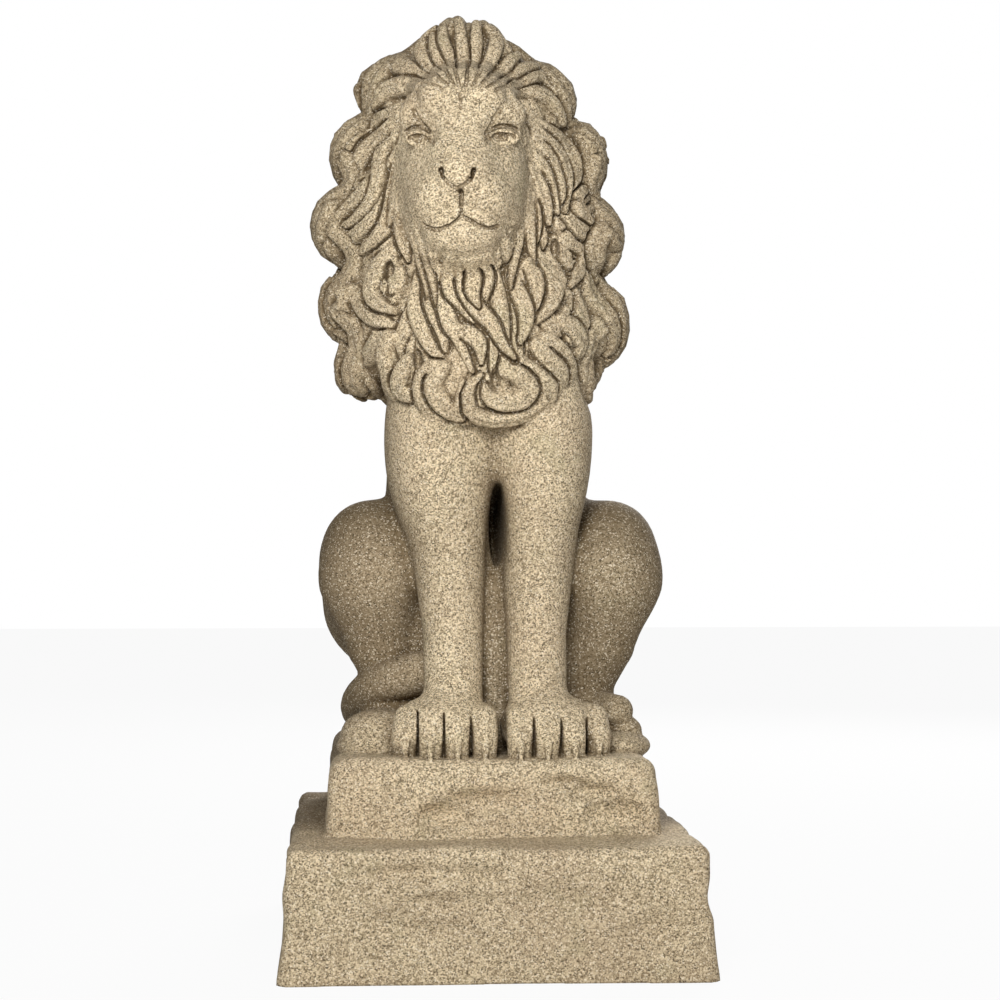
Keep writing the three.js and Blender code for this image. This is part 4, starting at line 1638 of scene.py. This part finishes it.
def thin_out(piece: bpy.types.Object, region: Region, kept: int) -> None:
    """Takes a region of a mesh down to a number of corners, the flattest places first.

    Args:
        piece: The object.
        region: Tells from x, y and z which points belong to the region.
        kept: How many corners the region keeps.
    """
    corners = read(piece, "co")
    total = len(corners)
    inside = np.flatnonzero(region(*corners.T))
    log.info("region of %d corners brought to %d", len(inside), kept)
    if len(inside) <= kept:
        return
    group = piece.vertex_groups.new(name="spare")
    group.add(inside.tolist(), 1.0, "REPLACE")
    fewer = piece.modifiers.new("fewer", "DECIMATE")
    fewer.ratio = (total - len(inside) + kept) / total
    fewer.vertex_group = group.name
    graph = bpy.context.evaluated_depsgraph_get()
    mesh = bpy.data.meshes.new_from_object(piece.evaluated_get(graph))
    piece.modifiers.clear()
    piece.vertex_groups.clear()
    piece.data = mesh
    mesh.polygons.foreach_set("use_smooth", np.ones(len(mesh.polygons), bool))
    mesh.update()
    log.info("%s: %d faces", piece.name, len(mesh.polygons))


@dataclass
class Studio:
    """The pale floor, the surround, the lights and the camera."""

    image: float = 1000.0  # the picture's width; it and the next three are in pixels
    focal: float = 2417.0
    across: float = 141.0  # how far the picture's middle is right of the way straight ahead
    down: float = 31.0  # and how far above it
    width: float = 36.0
    eye: Point = (-0.098, -1.880, 0.3155)
    ambient: float = 0.15
    # Each lamp's name, place, size and power, and the point that all look at.
    lamps: Sequence[tuple[str, Point, float, float]] = (
        ("key", (-0.22, -1.25, 0.80), 0.35, 14.5),
        ("front_fill", (0.45, -1.7, 0.35), 0.9, 3.0),
        ("back_light", (0.7, 1.8, 1.3), 1.2, 45),
    )
    aim: Point = (0, 0, 0.38)
    floor_reach: float = 6.0
    floor_colour: Point = (0.80, 0.80, 0.79)
    floor_roughness: float = 0.9
    glow: float = 0.98
    glow_share: float = 0.96

    def floor(self) -> None:
        """Lays the floor."""
        mesh = bpy.data.meshes.new("floor")
        s = self.floor_reach
        mesh.from_pydata([(-s, -s, 0), (s, -s, 0), (s, s, 0), (-s, s, 0)], [], [(0, 1, 2, 3)])
        floor = bpy.data.objects.new("floor", mesh)
        bpy.context.scene.collection.objects.link(floor)
        paint = Paint("pale_floor")
        paint.surface.inputs["Base Color"].default_value = (*self.floor_colour, 1)
        paint.surface.inputs["Roughness"].default_value = self.floor_roughness
        glow = paint.node("ShaderNodeEmission", {}, {"Color": (1, 1, 1, 1), "Strength": self.glow})
        seen = paint.node("ShaderNodeLightPath", {}, {}).outputs["Is Camera Ray"]
        share = Value(paint, seen) * self.glow_share
        both = paint.node(
            "ShaderNodeMixShader", {}, {0: share, 1: paint.surface.outputs[0], 2: glow.outputs[0]}
        )
        out = next(n for n in paint.tree.nodes if n.type == "OUTPUT_MATERIAL")
        paint.feed(out.inputs["Surface"], both.outputs[0])
        mesh.materials.append(paint.material)

    def lamp(self, name: str, place: Point, size: float, power: float) -> None:
        """Hangs a soft square light that looks at the statue's middle.

        Args:
            name: Its name.
            place: Where it hangs, in metres.
            size: Its side.
            power: Its power in watts.
        """
        data = bpy.data.lights.new(name, "AREA")
        data.size = size
        data.energy = power
        lamp = bpy.data.objects.new(name, data)
        lamp.visible_camera = False
        lamp.location = place
        way = Vector(self.aim) - Vector(place)
        lamp.rotation_euler = way.to_track_quat("-Z", "Y").to_euler()
        bpy.context.scene.collection.objects.link(lamp)

    def light(self) -> None:
        """Lights the studio."""
        world = bpy.data.worlds.new("surround")
        bpy.context.scene.world = world
        world.use_nodes = True
        nodes, links = world.node_tree.nodes, world.node_tree.links
        ground = next(n for n in nodes if n.type == "BACKGROUND")
        ground.inputs[0].default_value = (1, 1, 1, 1)
        strength = nodes.new("ShaderNodeMapRange")
        strength.inputs[3].default_value, strength.inputs[4].default_value = self.ambient, 1.0
        links.new(nodes.new("ShaderNodeLightPath").outputs["Is Camera Ray"], strength.inputs[0])
        links.new(strength.outputs[0], ground.inputs[1])
        for lamp in self.lamps:
            self.lamp(*lamp)
        bpy.context.scene.view_settings.view_transform = "Standard"

    def camera(self) -> None:
        """Stands the camera at the photograph's viewpoint."""
        data = bpy.data.cameras.new("camera")
        data.sensor_width = self.width
        data.lens = self.focal / self.image * self.width
        camera = bpy.data.objects.new("camera", data)
        camera.location = self.eye
        pitch = math.pi / 2 + math.atan(self.down / self.focal)
        camera.rotation_euler = (pitch, 0, -math.atan(self.across / self.focal))
        bpy.context.scene.collection.objects.link(camera)
        bpy.context.scene.camera = camera

    def set_up(self) -> None:
        """Sets up the whole studio."""
        self.floor()
        self.light()
        self.camera()


def note_size() -> None:
    """Brings the view layer up to date."""
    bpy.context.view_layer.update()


def main() -> None:
    """Builds the statue and the studio."""
    note_size()
    statue = LionStatue()
    piece = statue.built()
    log.info("%s is in place", piece.name)
    Studio().set_up()
    note_size()


if __name__ == "__main__":
    main()
